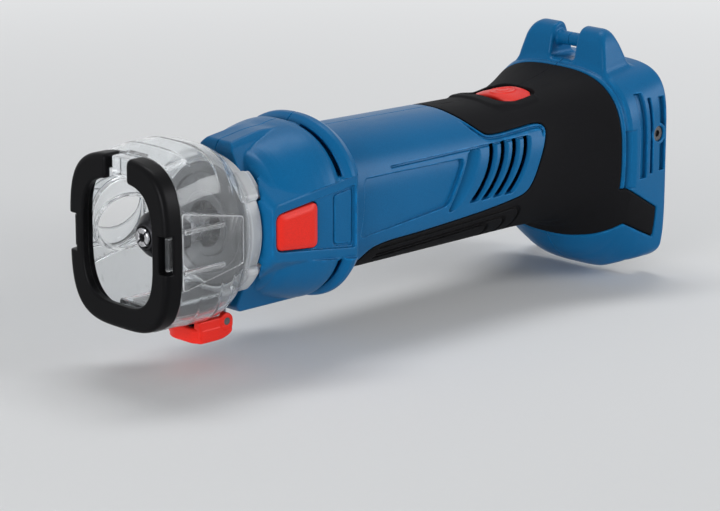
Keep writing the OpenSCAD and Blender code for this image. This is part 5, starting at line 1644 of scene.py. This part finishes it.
class CutoutSizes(bpy.types.PropertyGroup):
    """Sizes that a user would change."""

    shell_step: bpy.props.FloatProperty(
        name="Shell step", description="Spacing of the mesh on the moulded shells",
        default=0.42 * MM, unit="LENGTH", precision=5)
    detail_step: bpy.props.FloatProperty(
        name="Detail step", description="Spacing of the mesh on small pieces",
        default=0.25 * MM, unit="LENGTH", precision=5)
    camera_distance: bpy.props.FloatProperty(
        name="Camera distance", description="From the camera to the point it aims at",
        default=1.2, unit="LENGTH")
    camera_aim: bpy.props.FloatVectorProperty(
        name="Camera aim", description="Point that the camera looks at", size=3, subtype="XYZ",
        default=(-0.08641, 0.0322, -0.01696))
    camera_azimuth: bpy.props.FloatProperty(
        name="Camera azimuth", description="Turn of the camera round the tool", subtype="ANGLE",
        default=math.radians(136))
    camera_elevation: bpy.props.FloatProperty(
        name="Camera elevation", description="Lift of the camera above the horizon", subtype="ANGLE",
        default=math.radians(15))
    camera_lens: bpy.props.FloatProperty(
        name="Lens", description="Focal length in millimetres", default=150.0)
    floor_size: bpy.props.FloatProperty(
        name="Floor", description="Side of the floor", default=12.0, unit="LENGTH")


def colour_property(label, text, default):
    """A colour setting."""
    return bpy.props.FloatVectorProperty(name=label, description=text, subtype="COLOR", size=3, min=0, max=1,
                                         default=default)


class CutoutColours(bpy.types.PropertyGroup):
    """Colours that a user would change, in linear light."""

    blue: colour_property("Housing", "Blue of the housing", (0.004, 0.115, 0.285))
    rubber: colour_property("Rubber", "Black of the overmould", (0.009, 0.009, 0.010))
    red: colour_property("Controls", "Red of button, switch and lever", (0.80, 0.028, 0.018))
    hood: colour_property("Hood", "Tint of the clear hood", (0.94, 0.96, 0.97))
    black: colour_property("Foot ring", "Black of the foot ring, shoe and rail", (0.004, 0.004, 0.0044))
    floor: colour_property("Floor", "Colour of floor and background", (0.80, 0.81, 0.82))


# Moulded finishes: colour setting, roughness, gloss, grain, relief, wear with a painted edge highlight, and
# dust
MOULDED = {
    "blue_plastic": ("blue", 0.34, 0.22, 2300.0, 0.00006, 0.55, 0.05),
    "grip_rubber": ("rubber", 0.66, 0.05, 2900.0, 0.00007, 0.35, 0.05),
    "red_plastic": ("red", 0.32, 0.25, 2600.0, 0.00003, 0.12, 0.03),
    "black_plastic": ("black", 0.36, 0.07, 2600.0, 0.00003, 0.30, 0.04),
}
# Metals: colour, roughness, lay of the tool marks and relief
METALS = {
    "screw_steel": ((0.13, 0.13, 0.135), 0.34, (1, 1, 1), 0.00002),
    "bearing_steel": ((0.62, 0.62, 0.64), 0.24, (6, 1, 1), 0.00001),
    "dark_steel": ((0.045, 0.045, 0.05), 0.36, (5, 1, 1), 0.00002),
    "cast_aluminium": ((0.22, 0.225, 0.235), 0.46, (1, 1, 1), 0.00003),
    "copper": ((0.6, 0.26, 0.12), 0.35, (1, 5, 5), 0.00003),
    "contact_brass": ((0.7, 0.55, 0.28), 0.28, (4, 1, 1), 0.00001),
}
HOOD_ROUGHNESS = 0.05
BOARD_GREEN = (0.02, 0.16, 0.06)
FINISHES = {}


def new_finish(slot):
    """Wires the finish of a material slot."""
    colours = bpy.context.scene.cutout_colours
    if slot in MOULDED:
        setting, *values = MOULDED[slot]
        return moulded(slot, getattr(colours, setting), *values)
    if slot in METALS:
        return metal(slot, *METALS[slot])
    if slot == "clear_plastic":
        return clear(slot, colours.hood, HOOD_ROUGHNESS)
    return board(slot, BOARD_GREEN)


def finish(slot):
    """The finish of a material slot, made once."""
    if slot not in FINISHES:
        FINISHES[slot] = new_finish(slot)
    return FINISHES[slot]


def sizes():
    """The scene's size settings."""
    return bpy.context.scene.cutout_sizes


# Operators


class PieceOperator(bpy.types.Operator):
    """Base of the operators: makes its pieces or raises an error."""

    bl_options = {"REGISTER", "UNDO"}

    def execute(self, context):
        self.make()
        return {"FINISHED"}


SIDES = {"left": 1, "right": -1}
# Shares of the faces that are kept on shells and on small pieces
SHELL_KEEP = 0.4
DETAIL_KEEP = 0.5


def side_box(low, high, side):
    """A box on one side of the parting plane."""
    ys = sorted((0.0, side * high[1]))
    return (low[0], ys[0], low[2]), (high[0], ys[1], high[2])


class CUTOUT_OT_housing(PieceOperator):
    """Casts the two halves of the housing"""

    bl_idname = "cutout.housing"
    bl_label = "Housing halves"

    def make(self):
        for name, side in SIDES.items():
            low, high = side_box(HOUSING_LOW, HOUSING_HIGH, side)
            step = sizes().shell_step / MM
            shell = cast(f"housing_shell_{name}", housing_field(side), low, high, step, SHELL_KEEP)
            seat(shell, "housing", "blue_plastic", finish("blue_plastic"), f"housing_{name}")


class CUTOUT_OT_grips(PieceOperator):
    """Casts the two halves of the rubber overmould"""

    bl_idname = "cutout.grips"
    bl_label = "Rubber overmould"

    def make(self):
        for name, side in SIDES.items():
            low, high = node_box("grip_left")
            low, high = side_box(low, high, side)
            step = sizes().shell_step / MM
            rubber = cast(f"grip_rubber_{name}", grip_field(side), low, high, step, SHELL_KEEP)
            seat(rubber, "housing", "grip_rubber", finish("grip_rubber"), f"grip_{name}")


class CUTOUT_OT_hood(PieceOperator):
    """Casts the clear dust hood"""

    bl_idname = "cutout.hood"
    bl_label = "Dust hood"

    def make(self):
        low, high = node_box("dust_hood")
        hood = cast("clear_hood", hood_field, low, high, sizes().shell_step / MM, SHELL_KEEP)
        seat(hood, "depth_guide", "clear_plastic", finish("clear_plastic"), "dust_hood")


class CUTOUT_OT_ring(PieceOperator):
    """Casts the foot ring"""

    bl_idname = "cutout.ring"
    bl_label = "Foot ring"

    def make(self):
        lift = np.array((0, 0, RING_LIFT))
        step = sizes().shell_step / MM
        ring = cast("front_ring", ring_field, RING_LOW - lift, RING_HIGH + lift, step, DETAIL_KEEP)
        seat(ring, "depth_guide", "black_plastic", finish("black_plastic"), "foot_ring")


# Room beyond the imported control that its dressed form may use
CONTROL_MARGIN = np.array((2.0, 3.5, 0.2))


class CUTOUT_OT_controls(PieceOperator):
    """Casts the lock button, slide switch cap and clamp lever"""

    bl_idname = "cutout.controls"
    bl_label = "Red controls"

    def make(self):
        step = sizes().detail_step / MM
        rows = [("lock_cap", lock_button_field, "lock_button", "lock"),
                ("switch_slide_cap", switch_field, "switch_cap", "switch"),
                ("clamp_lever_red", lever_field, "clamp_lever", "lever")]
        for name, field, node, body in rows:
            low, high = node_box(node)
            piece = cast(name, field, low - CONTROL_MARGIN, high + CONTROL_MARGIN, step, DETAIL_KEEP)
            seat(piece, body, "red_plastic", finish("red_plastic"), node)


class CUTOUT_OT_spindle(PieceOperator):
    """Casts the collet, its nut and the front flange"""

    bl_idname = "cutout.spindle"
    bl_label = "Spindle nose"

    def make(self):
        step = sizes().detail_step / MM
        rows = [("collet_nut_black", nut_field, "collet_nut", "nut", "dark_steel", step),
                ("slit_collet", collet_field, "collet", "spindle", "bearing_steel", 0.7 * step),
                ("flange_turned", flange_field, "front_flange", "housing", "cast_aluminium", 1.6 * step)]
        for name, field, node, body, slot, pitch in rows:
            piece = cast(name, field, *node_box(node), pitch, DETAIL_KEEP)
            seat(piece, body, slot, finish(slot), node)


class CUTOUT_OT_battery_side(PieceOperator):
    """Casts the battery shoe and its terminal block"""

    bl_idname = "cutout.battery_side"
    bl_label = "Battery side"

    def make(self):
        rows = [("battery_shoe_black", shoe_field, "battery_shoe", 1.8),
                ("terminal_tower", terminal_field, "terminal_block", 1.2)]
        for name, field, node, scale in rows:
            piece = cast(name, field, *node_box(node), scale * sizes().detail_step / MM, SHELL_KEEP)
            seat(piece, "housing", "black_plastic", finish("black_plastic"), node)


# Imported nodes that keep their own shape, by finish
CARRIED = {
    "screw_steel": ["housing_screws", "rail_screws", "shoe_screws", "lever_pin", "lock_spring"],
    "bearing_steel": ["motor_shaft", "front_bearing_outer", "rear_bearing_outer", "front_bearing_inner",
                      "rear_bearing_inner", "lock_pin"],
    "dark_steel": ["stator_core", "rotor_core", "rotor_magnets"],
    "cast_aluminium": ["control_module"],
    "copper": ["stator_windings", "motor_leads", "battery_leads"],
    "contact_brass": ["battery_blades"],
    "circuit_board": ["sensor_board", "control_board"],
    "black_plastic": ["depth_rail", "clamp_shoe", "switch_block", "cooling_fan"],
}


class CUTOUT_OT_inner_works(PieceOperator):
    """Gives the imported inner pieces, screws and rail their finishes"""

    bl_idname = "cutout.inner_works"
    bl_label = "Inner works and screws"

    def make(self):
        for slot, names in CARRIED.items():
            for name in names:
                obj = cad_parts[name]
                obj.data.materials.clear()
                obj.data.materials.append(finish(slot))


class CUTOUT_OT_stage(PieceOperator):
    """Lays the floor, hangs the lamps and sets the camera"""

    bl_idname = "cutout.stage"
    bl_label = "Stage"

    def make(self):
        make_floor()
        make_world()
        make_lamps()
        make_camera()
        bpy.context.scene.view_settings.view_transform = "Standard"


def camera_rays(f):
    """One where the camera sees the stage, straight or by way of gloss and glass."""
    path = [f.add("ShaderNodeLightPath", None, None, name)
            for name in ("Is Camera Ray", "Is Glossy Ray", "Is Transmission Ray")]
    return f.add("ShaderNodeMath", {"operation": "MINIMUM"}, {0: path[0] + path[1] + path[2], 1: 1.0})


FLOOR_GAP = 0.4
FLOOR_FADE = (0.25, 0.95)
CLOTH_SCALE = 300.0
CLOTH_ROUGH = (0.75, 0.9)


def make_floor():
    """Pale floor that keeps the shadow."""
    half = sizes().floor_size / 2
    level = CAD_LOW.z - FLOOR_GAP * MM
    signs = [(-1, -1), (1, -1), (1, 1), (-1, 1)]
    corners = np.array([(u * half, v * half, level) for u, v in signs])
    floor = link("floor", mesh_of("floor", corners, np.array([(0, 1, 2, 3)])))
    f = Finish("floor_pale")
    tone = linear(bpy.context.scene.cutout_colours.floor)
    cloth = f.noise(CLOTH_SCALE, 3.0)
    near = f.surface(base_color=tone, roughness=f.span(cloth, *MIDDLE, *CLOTH_ROUGH))
    black = (0.0, 0.0, 0.0, 1.0)
    far = f.surface(base_color=black, specular_ior_level=0.0, emission_strength=1.0,
                    emission_color=f.blend(camera_rays(f), black, tone))
    away = f.add("ShaderNodeVectorMath", {"operation": "LENGTH"}, {0: f.place()}, "Value")
    f.close(f.add("ShaderNodeMixShader", None, {0: f.span(away, *FLOOR_FADE), 1: near, 2: far}))
    floor.data.materials.append(f.material)


WORLD_LIGHT = 0.27


def make_world():
    """Soft grey light, with a pale background for the camera, gloss and glass."""
    world = bpy.data.worlds.new("studio")
    bpy.context.scene.world = world
    world.use_nodes = True
    f = Finish.__new__(Finish)
    f.tree = world.node_tree
    f.tree.nodes.clear()
    tone = linear(bpy.context.scene.cutout_colours.floor)
    strength = WORLD_LIGHT + camera_rays(f) * (1.0 - WORLD_LIGHT)
    sky = f.add("ShaderNodeBackground", None, {"Color": tone, "Strength": strength})
    f.add("ShaderNodeOutputWorld", None, {"Surface": sky})


# Lamps: name, place, size across, size along, power in watts
LAMPS = [
    ("side", (-1.00, 1.00, 0.42), 0.6, 0.6, 9.0),
    ("top", (-0.30, -0.28, 1.10), 0.8, 0.28, 5.2),
    ("front", (1.05, 0.34, 0.16), 0.6, 0.4, 9.0),
]
LAMP_AIM = (-0.11, 0.0, 0.0)


def make_lamps():
    """Area lamps aimed at the tool."""
    for name, place, across, along, power in LAMPS:
        lamp = bpy.data.lights.new(f"lamp_{name}", "AREA")
        lamp.shape = "RECTANGLE"
        lamp.size = across
        lamp.size_y = along
        lamp.energy = power
        obj = link(f"lamp_{name}", lamp)
        obj.location = place
        obj.rotation_mode = "QUATERNION"
        obj.rotation_quaternion = (Vector(LAMP_AIM) - Vector(place)).to_track_quat("-Z", "Y")


def make_camera():
    """Camera at the photograph's viewing angle."""
    s = sizes()
    a, e = s.camera_azimuth, s.camera_elevation
    back = Vector((math.sin(a) * math.cos(e), -math.cos(a) * math.cos(e), math.sin(e)))
    data = bpy.data.cameras.new("camera")
    data.lens = s.camera_lens
    camera = link("camera", data)
    camera.location = Vector(s.camera_aim) + back * s.camera_distance
    camera.rotation_mode = "QUATERNION"
    camera.rotation_quaternion = (-back).to_track_quat("-Z", "Y")
    bpy.context.scene.camera = camera


OPERATORS = [CUTOUT_OT_housing, CUTOUT_OT_grips, CUTOUT_OT_hood, CUTOUT_OT_ring, CUTOUT_OT_controls,
             CUTOUT_OT_spindle, CUTOUT_OT_battery_side, CUTOUT_OT_inner_works, CUTOUT_OT_stage]


class CUTOUT_PT_panel(bpy.types.Panel):
    """Lists the operators and settings"""

    bl_idname = "CUTOUT_PT_panel"
    bl_label = "Cut-out tool"
    bl_space_type = "VIEW_3D"
    bl_region_type = "UI"
    bl_category = "Cut-out tool"

    def draw(self, context):
        for operator in OPERATORS:
            self.layout.operator(operator.bl_idname)
        for group in (context.scene.cutout_sizes, context.scene.cutout_colours):
            for key in group.__annotations__:
                self.layout.prop(group, key)


CLASSES = [CutoutSizes, CutoutColours, *OPERATORS, CUTOUT_PT_panel]


def register():
    """Registers the classes and hangs the settings on the scene."""
    for cls in CLASSES:
        bpy.utils.register_class(cls)
    bpy.types.Scene.cutout_sizes = bpy.props.PointerProperty(type=CutoutSizes)
    bpy.types.Scene.cutout_colours = bpy.props.PointerProperty(type=CutoutColours)


def unregister():
    """Takes the settings and classes away again."""
    del bpy.types.Scene.cutout_colours
    del bpy.types.Scene.cutout_sizes
    for cls in reversed(CLASSES):
        bpy.utils.unregister_class(cls)


def main():
    """Builds the dressed tool and its stage."""
    register()
    for operator in OPERATORS:
        group, name = operator.bl_idname.split(".")
        getattr(getattr(bpy.ops, group), name)()


if __name__ == "__main__":
    main()
